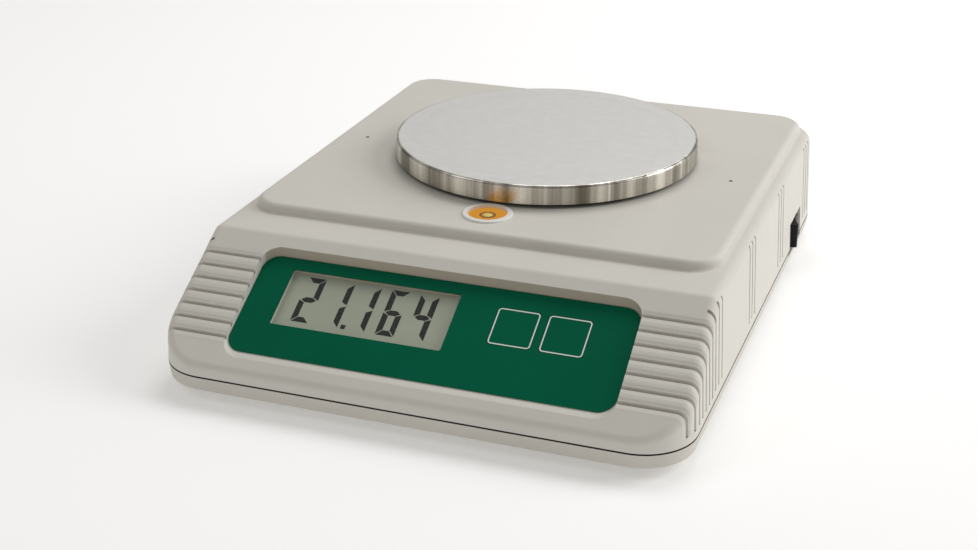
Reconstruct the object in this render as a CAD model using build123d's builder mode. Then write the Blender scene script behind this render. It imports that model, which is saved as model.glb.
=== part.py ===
from build123d import *
import math
import os

os.makedirs("parts", exist_ok=True)

# Bench counting scale, in millimetres. The origin is on the table under the middle of the case,
# +Z is up and the display looks towards -Y.

# Clearances and screw proportions used all over
running_gap = 0.05  # radius, round pins, studs and plugs
screw_clearance = 0.2  # radius, round the shank of a screw
head_clearance = 0.3  # radius, round the head of a screw
head_ratio = 1.8  # screw head to shank

# Driving sizes of the case
case_width = 210.0  # across the seam
case_depth = 264.5  # front to back at the seam
case_corner = 21.0  # corner radius seen from above
case_draft = 2.9  # lean of the walls above the seam, degrees
table_gap = 4.0  # table to the underside of the case
base_height = 5.8  # underside of the case to the seam
base_draft = 6.4  # lean of the tray's rim below the seam, degrees
shoulder_height = 45.4  # underside of the case to the shoulder
platform_rise = 4.1  # shoulder to the flat platform under the pan
wall = 2.4
floor_thickness = 2.5
edge_radius = 4.0  # outer edge between walls, slope and shoulder
seam_groove = 0.6  # height of the shadow line at the seam
seam_depth = 0.6
tray_edge = 1.0
tongue_gap = 0.25  # tray's tongue to the inside of the upper housing
tongue_wall = 1.35
tongue_height = 3.0

# Platform, the raised flat that the pan hovers over
platform_side = 7.0  # shoulder beside the platform, from the side of the case at the seam
platform_ahead = 18.1805  # top of the slope to the platform
platform_behind = 6.25  # back of the case at the seam to the platform
platform_corner = 13.0
platform_draft = 14.0
platform_edge = 2.6
platform_root = 1.2

# Sloped front with its grip grooves
slope_angle = 32.47
slope_setback = 3.32  # front of the seam to the foot of the slope
slope_foot = 13.17  # underside of the case to the foot of the slope
groove_count = 7
groove_pitch = 5.18
groove_start = 12.28  # front of the seam to the lowest groove
groove_width = 1.3
groove_depth = 1.1
groove_low = 9.2  # underside of the case to the lower end of a groove

# Side louvres, blind slots in groups of three
louvre_group_count = 3
louvre_group_pitch = 60.5
louvre_back = 89.75  # back of the seam to the middle group
louvre_count = 3
louvre_pitch = 5.3
louvre_low = 10.0
louvre_high = 43.6

# Display recess and the panel at its bottom
recess_width = 154.6
recess_low = 2.34  # up the slope from its foot
recess_high = 54.0
recess_corner = 8.0
panel_depth = 2.75  # below the slope at the middle of the panel
panel_lean = 3.46  # the panel is this much less steep than the slope
panel_middle = 28.9  # up the slope
panel_width = 153.9
panel_height = 46.8
panel_corner = 7.0
panel_skin = 2.2
overlay_thickness = 0.4
overlay_clearance = 0.25
above_slope = 3.0  # how far the cut for the recess reaches above the slope

# Display behind the panel
window_width = 70.0
window_height = 26.5
window_x = -28.2
window_v = 4.65
window_corner = 0.8
lens_lap = 1.4  # how far the lens reaches behind the overlay
lens_thickness = 1.0
glass_lap = 3.2  # how far the display glass reaches behind the panel
glass_thickness = 2.8
frame_wall = 1.9
frame_fit = 0.15
board_drop = 9.0  # panel face to the display board
board_thickness = 1.6
board_corner = 2.0
strip_width = 2.2
display_board_width = 148.0
display_board_height = 46.0
display_board_x = -4.0
display_boss = 5.5
display_screw = 2.5
display_screw_inset_x = 4.5
display_screw_inset_v = 3.6
display_screw_length = 6.0
display_screw_head = 1.6
screw_floor = 1.0  # plastic left under a blind screw hole
lens_opening = 1.0  # the hole behind the lens is this much larger than the window
glass_step = 1.0  # each sheet of the glass stands this far past the other

# Keys
key_size = 16.7
key_corner = 1.6
key_gap = 0.2
key_pitch = 20.0
key_middle_x = 41.25
key_v = 6.4
key_relief = 0.7
key_hole = 7.4
key_plunger = 6.0
key_stem = 3.3
switch_cube = 6.2
switch_cube_height = 3.5
switch_well = 1.2
switch_corner = 0.5
plunger_gap = 0.9  # plunger to the top of its switch
stem_round = 0.3

# Pan and what carries it
pan_diameter = 132.0
pan_shift = 2.25  # behind the middle of the platform
pan_height = 8.0
pan_gap = 1.8
pan_sheet = 0.9
pan_edge = 1.3
support_radius = 48.5
support_ring = 9.0
support_thickness = 3.0
support_arm = 10.0
support_hub = 13.0
pad_diameter = 11.0
pad_height = 3.0
pad_seat = 1.0
post_diameter = 14.0
post_thread = 5.0
post_screw_length = 11.0
post_screw_grip = 5.0
post_screw_head = 2.2
post_hole = 24.0
collar_wall = 2.2
collar_height = 1.0
arm_thickness = 3.0
arm_width = 24.0
locating_gap = 0.6
locating_ring = 1.2  # wall of the ring under the pan
locating_ring_height = 3.0
support_fillet = 2.5
pad_round = 0.8
post_chamfer = 0.6
arm_corner = 5.0
arm_chamfer = 0.4

# Load cell
cell_length = 80.0
cell_width = 12.7
cell_height = 12.7
cell_seat = 11.0  # underside of the case to the spacer's underside
cell_spacer = 3.0
cell_end = 22.0  # length of each clamped end
cell_eye = 9.0
cell_screw = 4.0
cell_screw_pitch = 12.0
cell_screw_sink = 5.0  # underside of the case to the seat of the head
cell_screw_grip = 7.5  # length of thread in the load cell
cell_screw_head = 2.4
cell_web = 4.0  # solid beam between a clamped end and its eye
cell_slot = 4.0
cell_chamfer = 0.4
plinth_edge = 2.0  # the plinth stands this far past the spacer, front and back
plinth_side = 3.0  # the same at the sides
spacer_side = 3.0  # the spacer stands this far past the load cell
stop_boss = 12.0
stop_boss_height = 7.0
stop_nut_width = 7.0
stop_nut_height = 2.4
stop_gap = 0.5

# Feet
foot_inset_x = 29.0  # from the side of the case at the seam
foot_inset_front = 40.25
foot_inset_back = 30.25
foot_knob = 24.0
foot_knob_height = 6.0
foot_pad_width = 18.0
foot_pad_height = 2.0
foot_pad_seat = 0.6
foot_pad_round = 0.5
foot_stud_chamfer = 0.6
foot_notches = 16
foot_notch = 2.4
foot_stud = 6.0
foot_stud_length = 11.5
foot_pocket_gap = 2.0  # above the knob
foot_pocket_side = 2.0  # round the knob
foot_stud_hole = 0.3
foot_knob_web = 2.0  # knob left under the stud
foot_pocket_wall = 2.2
insert_wall = 1.2
insert_length = 8.0
insert_boss = 13.0

# Screws that hold the two halves together
case_screw = 3.0
case_screw_length = 12.0
case_screw_sink = 4.0
case_screw_head = 2.1
boss_diameter = 8.0
boss_joint = 10.0  # underside of the case to where the two bosses meet
screw_corner_inset = 17.0  # side of the case at the seam to the four corner screws
screw_side_inset = 10.0  # the same for the two in the middle
screw_end_inset = 14.25

# Power switch in the right side
switch_back = 53.75  # back of the seam to the middle of the switch
switch_z = 10.85  # above the underside of the case
notch_length = 25.0
notch_height = 15.0
notch_depth = 5.0
notch_wall = 1.8
plate_thickness = 2.0
bezel_length = 21.0
bezel_height = 14.2
bezel_thickness = 1.6
switch_length = 18.6
switch_height = 12.9
switch_depth = 13.0
rocker_length = 15.4
rocker_height = 10.8
rocker_axis_sink = 1.4  # below the face of the bezel
rocker_tilt = 12.0
rocker_end = 6.1  # axis to the top of either end
rocker_dip = 4.4  # axis to the top of the middle
rocker_gap = 0.4
rocker_pin = 2.0
rocker_pin_end = 0.7  # how far the pin stands out of the rocker
rocker_flank = 0.5  # axis to the foot of the straight ends
rocker_keel = 3.0  # axis to the underside
rocker_round = 1.2
bezel_corner = 1.2
bezel_chamfer = 0.4
plate_clearance = 0.2
terminal_width = 4.8
terminal_thickness = 0.8
terminal_length = 7.0

# Bull's-eye level
level_behind = 19.6  # front of the platform to the middle of the level
level_ring = 20.5
level_cup = 17.4
level_ring_height = 0.8
level_depth = 8.0
level_bore = 16.2
level_cap = 1.2
level_floor = 1.5
level_cap_sink = 0.1
level_ring_round = 0.5
level_cap_chamfer = 0.2

# Power inlet in the back wall
inlet_side = 45.0  # side of the case at the seam to the middle of the inlet
inlet_height = 16.0
inlet_barrel = 8.0
inlet_flange = 11.0
inlet_flange_height = 1.4
inlet_depth = 14.0
inlet_bore = 5.6
inlet_pin_diameter = 2.0
inlet_pin_sink = 1.0  # below the face of the flange
inlet_pin_round = 0.5
inlet_nut_width = 12.0
inlet_nut_height = 2.4
inlet_chamfer = 0.4
inlet_floor = 3.0  # solid end of the barrel

# Main board
main_width = 60.0
main_length = 90.0
main_shift = 1.825  # to the right of half way between the load cell and the side screw
main_y = 0.0
main_boss_height = 6.0
main_boss = 6.5
main_inset = 4.5
main_screw = 3.0
main_screw_length = 6.0
main_screw_head = 2.0
chips = (  # place on the board, width, length
    (6, 0, 14.0, 14.0),
    (-14, -8, 7.6, 10.3),
    (14, 24, 7.6, 10.3),
    (-16, 14, 6.0, 5.0),
)
chip_height = 2.0
chip_chamfer = 0.3
cans = ((20, -24, 4.0, 11.0), (20, -10, 4.0, 11.0), (-2, 26, 2.5, 7.0))  # place, radius, height
can_round = 0.8
connector_height = 6.0
connector_depth = 6.0
connector_inset = 6.0
connector_edge = 1.0
connector_end = 2.0  # past the ribbon at each end
power_socket = 8.0
power_pitch = 12.0
side_socket = 9.0
side_pitch = 40.0
lead_radius = 1.2
ribbon_x = 40.0
ribbon_v = 14.0
ribbon_width = 14.0
ribbon_thickness = 1.0
ribbon_fall = 6.0  # straight out of the display board
ribbon_run = 12.0  # straight into the main board

# Battery bay
battery_inset = 37.0  # left side of the case at the seam to the middle of the bay
battery_y = -3.0
battery_width = 26.5
battery_length = 48.5
battery_height = 17.5
battery_round = 3.0
bay_side_gap = 2.25
bay_room = 8.7  # in front of the snap
bay_top_gap = 1.0
bay_wall = 1.8
door_thickness = 2.0
door_gap = 0.3
door_ledge = 1.6
door_rib = 1.2
door_rib_width = 1.5
door_rib_short = 4.0  # each rib ends this far inside the battery
hook_reach = 2.0
hook_root = 4.0
hook_width = 6.0
hook_thickness = 1.2
hook_lift = 1.6
hook_spread = 18.0
thumb_length = 14.0
thumb_width = 5.0
thumb_depth = 0.8
thumb_inset = 6.0
battery_stud = 3.0
battery_stud_height = 2.4
battery_stud_pitch = 12.7
snap_gap = 0.5
snap_thickness = 4.0
snap_height = 12.0
snap_corner = 4.0
snap_skin = 1.0

# Ribs on the floor of the tray
rib_height = 3.5
rib_width = 1.6
rib_x = 46.0
rib_front_inset = 22.25
rib_back_inset = 12.25
cross_rib_x = -12.0
cross_rib_inset = 13.0

# Leads, as distances along their runs
cell_lead_inset = 8.0  # in front of the middle of the clamped end
cell_lead_run = 8.0
inlet_lead_run = 14.0
inlet_lead_turn = 24.0  # behind the sockets
switch_lead_run = 10.0
switch_lead_turn = 20.0
battery_lead_run = 14.0
battery_lead_x = -24.0  # where it reaches the floor of the tray
battery_lead_shift = 4.0
socket_lead_run = 9.0
lead_floor_gap = 3.0

# Small marks beside the pan
mark_inset = 14.5  # from the side of the platform
mark_shift = 5.7  # in front of the middle of the pan
mark_size = 2.6
mark_depth = 0.5

# Derived places
under_z = table_gap
seam_z = under_z + base_height
floor_z = under_z + floor_thickness
shoulder_z = under_z + shoulder_height
platform_z = shoulder_z + platform_rise
front_y = -case_depth / 2
back_y = case_depth / 2
side_x = case_width / 2
seam_plane = Plane.XY.offset(seam_z)
slope_rad = math.radians(slope_angle)
slope_top_y = front_y + slope_setback + (shoulder_height - slope_foot) / math.tan(slope_rad)
platform_width = case_width - 2 * platform_side
platform_front = slope_top_y + platform_ahead
platform_back = back_y - platform_behind
pan_y = (platform_front + platform_back) / 2 + pan_shift
level_y = platform_front + level_behind
switch_y = back_y - switch_back
slope_plane = Plane(
    origin=(0, front_y + slope_setback, under_z + slope_foot),
    x_dir=(1, 0, 0),
    z_dir=(0, -math.sin(slope_rad), math.cos(slope_rad)),
)
panel_rad = math.radians(slope_angle - panel_lean)
panel_plane = Plane(
    origin=slope_plane.from_local_coords((0, panel_middle, -panel_depth)),
    x_dir=(1, 0, 0),
    z_dir=(0, -math.sin(panel_rad), math.cos(panel_rad)),
)
board_plane = panel_plane.offset(-board_drop)
board_back = board_plane.offset(-board_thickness)
display_pitch = (
    display_board_width - 2 * display_screw_inset_x,
    display_board_height - 2 * display_screw_inset_v,
)
pan_bottom_z = platform_z + pan_gap
pan_top_z = pan_bottom_z + pan_height
case_screws = [
    (side * x, y)
    for side in (-1, 1)
    for x, y in (
        (side_x - screw_corner_inset, front_y + screw_end_inset),
        (side_x - screw_side_inset, 0),
        (side_x - screw_corner_inset, back_y - screw_end_inset),
    )
]
foot_x = side_x - foot_inset_x
foot_front = front_y + foot_inset_front
foot_back = back_y - foot_inset_back
feet = {
    "front_left": (-foot_x, foot_front),
    "front_right": (foot_x, foot_front),
    "back_left": (-foot_x, foot_back),
    "back_right": (foot_x, foot_back),
}
tongue_inset = wall + tongue_gap
tray_inset = tongue_inset + tongue_wall


def finish(piece, name):
    piece.part.label = name
    export_step(piece.part, f"parts/{name}.step")


def case_form(inset, radius):
    # The case above the seam with every face moved inwards by inset.
    with BuildPart() as form:
        with BuildSketch(seam_plane):
            RectangleRounded(case_width - 2 * inset, case_depth - 2 * inset, case_corner - inset)
        extrude(amount=shoulder_z - inset - seam_z, taper=case_draft)
        split(bisect_by=slope_plane.offset(-inset), keep=Keep.BOTTOM)
        with BuildSketch(Plane.XY.offset(shoulder_z - inset)):
            with Locations((0, (platform_front + platform_back) / 2)):
                RectangleRounded(
                    platform_width - 2 * inset,
                    platform_back - platform_front - 2 * inset,
                    platform_corner - inset,
                )
        extrude(amount=platform_rise, taper=platform_draft)
        if radius > 0:
            shoulder = form.faces().filter_by(Plane.XY).sort_by(Axis.Z)[-2]
            slope = form.faces().filter_by(slope_plane).sort_by(SortBy.AREA)[-1]
            fillet(shoulder.outer_wire().edges() + slope.edges(), radius)
            fillet(form.faces().sort_by(Axis.Z)[-1].edges(), platform_edge)
            shoulder = form.faces().filter_by(Plane.XY).sort_by(Axis.Z)[-2]
            fillet(shoulder.inner_wires()[0].edges(), platform_root)
    return form.part


def recess_form():
    # From the rim of the display recess down to the panel, with the air above it.
    with BuildPart() as form:
        with BuildSketch(slope_plane) as rim:
            with Locations((0, (recess_low + recess_high) / 2)):
                RectangleRounded(recess_width, recess_high - recess_low, recess_corner)
        with BuildSketch(panel_plane):
            RectangleRounded(panel_width, panel_height, panel_corner)
        loft(ruled=True)
        extrude(rim.sketch, amount=above_slope)
    return form.part


# Upper housing: the moulded shell with slope, recess, grooves and platform
outer_form = case_form(0, edge_radius)
inner_form = case_form(wall, 0)
groove_core = case_form(groove_depth, edge_radius - groove_depth)

groove_rows = [front_y + groove_start + row * groove_pitch for row in range(groove_count)]
with BuildPart() as grip_grooves:
    with BuildSketch(Plane.YZ.offset(recess_width / 2 - 2)):
        for y in groove_rows:
            with Locations((y, (under_z + groove_low + shoulder_z) / 2)):
                SlotOverall(shoulder_z - under_z - groove_low, groove_width, rotation=90)
    extrude(amount=case_width / 2 - recess_width / 2 + 4)
    mirror(about=Plane.YZ)
    add(groove_core, mode=Mode.SUBTRACT)

with BuildPart() as side_louvres:
    with BuildSketch(Plane.YZ.offset(case_width / 2 - wall - 3)):
        with Locations((back_y - louvre_back, under_z + (louvre_low + louvre_high) / 2)):
            with GridLocations(louvre_group_pitch, 1, louvre_group_count, 1):
                with GridLocations(louvre_pitch, 1, louvre_count, 1):
                    SlotOverall(louvre_high - louvre_low, groove_width, rotation=90)
    extrude(amount=wall + 5)
    mirror(about=Plane.YZ)
    add(groove_core, mode=Mode.SUBTRACT)

with BuildPart() as recess_box:
    with BuildSketch(slope_plane.offset(-wall / 2)):
        with Locations((0, panel_middle)):
            RectangleRounded(panel_width + 2 * wall, panel_height + 2 * wall, panel_corner + wall)
    extrude(amount=-(panel_depth + panel_height))
    split(bisect_by=panel_plane.offset(-panel_skin), keep=Keep.TOP)
    add(case_form(wall / 2, 0), mode=Mode.INTERSECT)

boss_joint_z = under_z + boss_joint
with BuildPart() as housing_bosses:
    with BuildSketch(Plane.XY.offset(boss_joint_z)):
        with Locations(*case_screws):
            Circle(boss_diameter / 2)
    extrude(amount=platform_z - boss_joint_z)
    add(case_form(wall / 2, 0), mode=Mode.INTERSECT)

switch_centre_z = under_z + switch_z
notch_top_z = switch_centre_z - notch_height / 2 + notch_height
notch_floor_z = notch_top_z - notch_height
notch_back_x = case_width / 2 - notch_depth
with BuildPart() as notch_frame:
    with BuildSketch(Plane.YZ.offset(notch_back_x + door_gap)):
        with Locations((switch_y, (seam_z + notch_top_z + notch_wall) / 2)):
            Rectangle(notch_length + 2 * notch_wall, notch_top_z + notch_wall - seam_z)
    extrude(amount=notch_depth)
    add(case_form(wall / 2, 0), mode=Mode.INTERSECT)

with BuildPart() as upper_housing:
    add(outer_form)
    add(inner_form, mode=Mode.SUBTRACT)
    add(recess_box.part)
    add(housing_bosses.part)
    add(notch_frame.part)
    add(recess_form(), mode=Mode.SUBTRACT)
    add(grip_grooves.part, mode=Mode.SUBTRACT)
    add(side_louvres.part, mode=Mode.SUBTRACT)
    # collar and hole for the post
    with BuildSketch(Plane.XY.offset(platform_z - wall / 2)):
        with Locations((0, pan_y)):
            Circle(post_hole / 2 + collar_wall)
    extrude(amount=wall / 2 + collar_height)
    with BuildSketch(Plane.XY.offset(platform_z + collar_height)):
        with Locations((0, pan_y)):
            Circle(post_hole / 2)
        with Locations((0, level_y)):
            Circle(level_cup / 2 + running_gap)
    extrude(amount=-(collar_height + 2 * wall), mode=Mode.SUBTRACT)
    # marks beside the pan
    with BuildSketch(Plane.XY.offset(platform_z)):
        with Locations((0, pan_y - mark_shift)):
            with GridLocations(platform_width - 2 * mark_inset, 1, 2, 1):
                RegularPolygon(mark_size / 2, 3, rotation=90)
    extrude(amount=-mark_depth, mode=Mode.SUBTRACT)
    # window, lens seat, key reliefs and key holes in the panel
    with BuildSketch(panel_plane):
        with Locations((window_x, window_v)):
            Rectangle(window_width + 2 * lens_lap, window_height + 2 * lens_lap)
    extrude(amount=-lens_thickness, mode=Mode.SUBTRACT)
    with BuildSketch(panel_plane):
        with Locations((window_x, window_v)):
            Rectangle(window_width + lens_opening, window_height + lens_opening)
        with Locations((key_middle_x, key_v)):
            with GridLocations(key_pitch, 1, 2, 1):
                Circle(key_hole / 2)
    extrude(amount=-2 * panel_skin, mode=Mode.SUBTRACT)
    with BuildSketch(panel_plane):
        with Locations((key_middle_x, key_v)):
            with GridLocations(key_pitch, 1, 2, 1):
                RectangleRounded(key_size + 4 * key_gap, key_size + 4 * key_gap, key_corner)
    extrude(amount=-key_relief, mode=Mode.SUBTRACT)
    # bosses that carry the display board
    with BuildSketch(board_plane):
        with Locations((display_board_x, 0)):
            with GridLocations(*display_pitch, 2, 2):
                Circle(display_boss / 2)
    extrude(amount=board_drop - panel_skin / 2)
    with BuildSketch(board_plane):
        with Locations((display_board_x, 0)):
            with GridLocations(*display_pitch, 2, 2):
                Circle(display_screw / 2 + running_gap)
    extrude(amount=board_drop - panel_skin - screw_floor, mode=Mode.SUBTRACT)
    # pilot holes for the case screws
    with BuildSketch(Plane.XY.offset(boss_joint_z)):
        with Locations(*case_screws):
            Circle(case_screw / 2 + running_gap)
    extrude(
        amount=under_z + case_screw_sink + case_screw_length + screw_floor - boss_joint_z,
        mode=Mode.SUBTRACT,
    )
    # notch for the power switch, open at the seam
    with BuildSketch(Plane.YZ.offset(notch_back_x - 3)):
        with Locations((switch_y, (seam_z + notch_top_z) / 2)):
            Rectangle(notch_length, notch_top_z - seam_z)
    extrude(amount=notch_depth + 6, mode=Mode.SUBTRACT)
    # shadow line above the seam
    with BuildSketch(seam_plane):
        RectangleRounded(case_width + 2, case_depth + 2, case_corner + 1)
        RectangleRounded(
            case_width - 2 * seam_depth,
            case_depth - 2 * seam_depth,
            case_corner - seam_depth,
            mode=Mode.SUBTRACT,
        )
    extrude(amount=seam_groove, mode=Mode.SUBTRACT)
    # hole for the power inlet
    inlet_plane = Plane(
        origin=(
            side_x - inlet_side,
            back_y - (inlet_height - base_height) * math.tan(math.radians(case_draft)),
            under_z + inlet_height,
        ),
        x_dir=(-1, 0, 0),
        z_dir=(0, math.cos(math.radians(case_draft)), math.sin(math.radians(case_draft))),
    )
    with BuildSketch(inlet_plane.offset(2)):
        Circle(inlet_barrel / 2 + running_gap)
    extrude(amount=-(wall + 4), mode=Mode.SUBTRACT)
finish(upper_housing, "upper_housing")

# Base cover: the tray with its rim, bosses, battery bay and switch plate
foot_pocket_z = under_z + foot_knob_height - table_gap + foot_pad_height - foot_pad_seat + foot_pocket_gap
insert_top_z = foot_pocket_z + foot_pocket_wall + insert_length
cell_seat_z = under_z + cell_seat
cell_z = cell_seat_z + cell_spacer
cell_back_y = pan_y + cell_length / 2
cell_front_y = pan_y - cell_length / 2
cell_fixed_y = cell_back_y - cell_end / 2
cell_free_y = cell_front_y + cell_end / 2
bay_width = battery_width + 2 * bay_side_gap
bay_length = door_gap + battery_length + snap_gap + snap_thickness + bay_room
bay_height = door_thickness + door_rib + door_gap + battery_height + bay_top_gap
bay_top_z = under_z + bay_height + bay_wall
battery_x = battery_inset - side_x
door_inner_z = under_z + door_thickness
main_board_z = floor_z + main_boss_height
main_pitch = (main_width - 2 * main_inset, main_length - 2 * main_inset)
spacer_width = cell_width + 2 * spacer_side
main_x = (spacer_width / 2 + side_x - screw_side_inset - boss_diameter / 2) / 2 + main_shift
battery_z = under_z + door_thickness + door_rib + door_gap
battery_front_y = battery_y + bay_length / 2 - door_gap - battery_length
snap_y = battery_front_y - snap_gap - snap_thickness / 2

with BuildPart() as base_cover:
    with BuildSketch(seam_plane):
        RectangleRounded(case_width, case_depth, case_corner)
    extrude(amount=-base_height, taper=base_draft)
    fillet(base_cover.faces().sort_by(Axis.Z)[0].edges(), tray_edge)
    with BuildSketch(seam_plane):
        RectangleRounded(
            case_width - 2 * tray_inset, case_depth - 2 * tray_inset, case_corner - tray_inset
        )
    extrude(amount=floor_z - seam_z, mode=Mode.SUBTRACT)
    # tongue that locates the upper housing
    with BuildSketch(seam_plane):
        RectangleRounded(
            case_width - 2 * tongue_inset, case_depth - 2 * tongue_inset, case_corner - tongue_inset
        )
        RectangleRounded(
            case_width - 2 * tray_inset,
            case_depth - 2 * tray_inset,
            case_corner - tray_inset,
            mode=Mode.SUBTRACT,
        )
    extrude(amount=tongue_height)
    # stiffening ribs on the floor
    with BuildSketch(Plane.XY.offset(floor_z)):
        with Locations((0, (rib_front_inset - rib_back_inset) / 2)):
            with GridLocations(2 * rib_x, 1, 2, 1):
                Rectangle(rib_width, case_depth - rib_front_inset - rib_back_inset)
        with Locations(
            (cross_rib_x, foot_front + cross_rib_inset), (cross_rib_x, foot_back - 2 * cross_rib_inset)
        ):
            Rectangle(2 * foot_x + insert_boss, rib_width)
    extrude(amount=rib_height)
    # plinth for the load cell, boss for the overload stop
    with BuildSketch(Plane.XY.offset(floor_z - 1)):
        with Locations((0, cell_fixed_y)):
            Rectangle(spacer_width + 2 * plinth_side, cell_end + 2 * plinth_edge)
    extrude(amount=cell_seat_z - floor_z + 1)
    with BuildSketch(Plane.XY.offset(floor_z - 1)):
        with Locations((0, cell_free_y)):
            Circle(stop_boss / 2)
    extrude(amount=stop_boss_height + 1)
    # housings round the four foot pockets, then their bosses
    with BuildSketch(Plane.XY.offset(floor_z - 1)):
        with Locations(*feet.values()):
            Circle(foot_knob / 2 + foot_pocket_side + foot_pocket_wall)
    extrude(amount=foot_pocket_z + foot_pocket_wall - floor_z + 1)
    with BuildSketch(Plane.XY.offset(foot_pocket_z)):
        with Locations(*feet.values()):
            Circle(insert_boss / 2)
    extrude(amount=insert_top_z - foot_pocket_z)
    with BuildSketch(Plane.XY.offset(under_z)):
        with Locations(*feet.values()):
            Circle(foot_knob / 2 + foot_pocket_side)
    extrude(amount=foot_pocket_z - under_z, mode=Mode.SUBTRACT)
    with BuildSketch(Plane.XY.offset(foot_pocket_z)):
        with Locations(*feet.values()):
            Circle(foot_stud / 2 + foot_stud_hole)
    extrude(amount=foot_pocket_wall, mode=Mode.SUBTRACT)
    with BuildSketch(Plane.XY.offset(foot_pocket_z + foot_pocket_wall)):
        with Locations(*feet.values()):
            Circle(foot_stud / 2 + insert_wall + running_gap)
    extrude(amount=insert_length + 1, mode=Mode.SUBTRACT)
    # bosses for the case screws
    with BuildSketch(Plane.XY.offset(floor_z - 1)):
        with Locations(*case_screws):
            Circle(boss_diameter / 2)
    extrude(amount=boss_joint_z - floor_z + 1)
    # bosses for the main board
    with BuildSketch(Plane.XY.offset(floor_z - 1)):
        with Locations((main_x, main_y)):
            with GridLocations(*main_pitch, 2, 2):
                Circle(main_boss / 2)
    extrude(amount=main_boss_height + 1)
    with BuildSketch(Plane.XY.offset(floor_z + 1)):
        with Locations((main_x, main_y)):
            with GridLocations(*main_pitch, 2, 2):
                Circle(main_screw / 2 + running_gap)
    extrude(amount=main_boss_height, mode=Mode.SUBTRACT)
    # battery bay
    with BuildSketch(Plane.XY.offset(under_z + tray_edge)):
        with Locations((battery_x, battery_y)):
            Rectangle(bay_width + 2 * bay_wall, bay_length + 2 * bay_wall + 2 * hook_reach)
    extrude(amount=bay_top_z - under_z - tray_edge)
    with BuildSketch(Plane.XY.offset(under_z)):
        with Locations((battery_x, battery_y)):
            Rectangle(bay_width, bay_length)
    extrude(amount=bay_height, mode=Mode.SUBTRACT)
    # ledge under the hooks and beside the latch, open above
    with BuildSketch(Plane.XY.offset(under_z + hook_thickness)):
        with Locations((battery_x, battery_y)):
            Rectangle(bay_width, bay_length + 2 * hook_reach + 1)
    extrude(amount=bay_height - hook_thickness, mode=Mode.SUBTRACT)
    # side ledges that the door closes against
    with BuildSketch(Plane.XY.offset(door_inner_z + door_gap)):
        with Locations((battery_x, battery_y)):
            with GridLocations(bay_width - door_ledge, 1, 2, 1):
                Rectangle(door_ledge, battery_length)
    extrude(amount=door_ledge)
    # way out for the battery lead
    with BuildSketch(Plane.YZ.offset(battery_x + bay_width / 2 - 1)):
        with Locations((snap_y, battery_z + battery_height / 2)):
            Circle(lead_radius + 1)
    extrude(amount=bay_wall + 2, mode=Mode.SUBTRACT)
    # holes for the load cell screws, sunk from below
    with Locations(Plane((0, cell_fixed_y, under_z), z_dir=(0, 0, -1))):
        with GridLocations(1, cell_screw_pitch, 1, 2):
            CounterBoreHole(
                cell_screw / 2 + screw_clearance,
                cell_screw * head_ratio / 2 + head_clearance,
                cell_screw_sink,
                cell_seat + 1,
            )
    # holes for the case screws, sunk from below
    with Locations(*[Plane((x, y, under_z), z_dir=(0, 0, -1)) for x, y in case_screws]):
        CounterBoreHole(
            case_screw / 2 + screw_clearance,
            case_screw * head_ratio / 2 + head_clearance,
            case_screw_sink,
            boss_joint + 1,
        )
    # threaded hole for the overload stop
    with BuildSketch(Plane.XY.offset(floor_z)):
        with Locations((0, cell_free_y)):
            Circle(cell_screw / 2 + running_gap)
    extrude(amount=stop_boss_height, mode=Mode.SUBTRACT)
    # notch below the power switch, and the plate that holds the switch
    with BuildSketch(Plane.XY.offset(floor_z - 1)):
        with Locations(((notch_back_x + case_width / 2 - wall) / 2 - 1, switch_y)):
            Rectangle(notch_depth - wall + 2, notch_length + 3)
    extrude(amount=notch_floor_z - floor_z + 1)
    with BuildSketch(Plane.XY.offset(notch_floor_z)):
        with Locations((notch_back_x + notch_depth, switch_y)):
            Rectangle(2 * notch_depth, notch_length)
            Rectangle(2 * notch_depth, notch_length + 2 * notch_wall + 1)
    extrude(amount=seam_z - notch_floor_z + tongue_height, mode=Mode.SUBTRACT)
    with BuildSketch(Plane.YZ.offset(notch_back_x - plate_thickness)):
        with Locations((switch_y, (floor_z - 1 + notch_top_z + notch_wall) / 2)):
            Rectangle(notch_length + 2 * notch_wall + 3, notch_top_z + notch_wall - floor_z + 1)
    extrude(amount=plate_thickness)
    with BuildSketch(Plane.YZ.offset(notch_back_x - plate_thickness)):
        with Locations((switch_y, switch_centre_z)):
            Rectangle(switch_length + 2 * plate_clearance, switch_height + 2 * plate_clearance)
    extrude(amount=plate_thickness, mode=Mode.SUBTRACT)
finish(base_cover, "base_cover")


def screw(name, spots, diameter, length, head_height):
    # A group of pan-head screws; each spot is a plane at the seat of the head, pointing out of the head.
    with BuildPart() as screws:
        for spot in spots:
            with BuildSketch(spot):
                Circle(diameter / 2)
            extrude(amount=-length)
            with BuildSketch(spot):
                Circle(diameter * head_ratio / 2)
            extrude(amount=head_height)
        tops = [
            face.edges().filter_by(GeomType.CIRCLE)
            for face in screws.faces().filter_by(GeomType.PLANE)
            if abs(face.area - math.pi * (diameter * head_ratio / 2) ** 2) < 0.01
        ]
        for rim in tops:
            chamfer(rim, head_height / 4)
    finish(screws, name)


screw(
    "housing_screws",
    [Plane((x, y, under_z + case_screw_sink), z_dir=(0, 0, -1)) for x, y in case_screws],
    case_screw,
    case_screw_length,
    case_screw_head,
)

# Front overlay, display lens and keys on the panel
with BuildPart() as front_overlay:
    with BuildSketch(panel_plane):
        RectangleRounded(
            panel_width - 2 * overlay_clearance,
            panel_height - 2 * overlay_clearance,
            panel_corner - overlay_clearance,
        )
        with Locations((window_x, window_v)):
            RectangleRounded(window_width, window_height, window_corner, mode=Mode.SUBTRACT)
        with Locations((key_middle_x, key_v)):
            with GridLocations(key_pitch, 1, 2, 1):
                RectangleRounded(
                    key_size + 2 * key_gap, key_size + 2 * key_gap, key_corner, mode=Mode.SUBTRACT
                )
    extrude(amount=overlay_thickness)
finish(front_overlay, "front_overlay")

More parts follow.
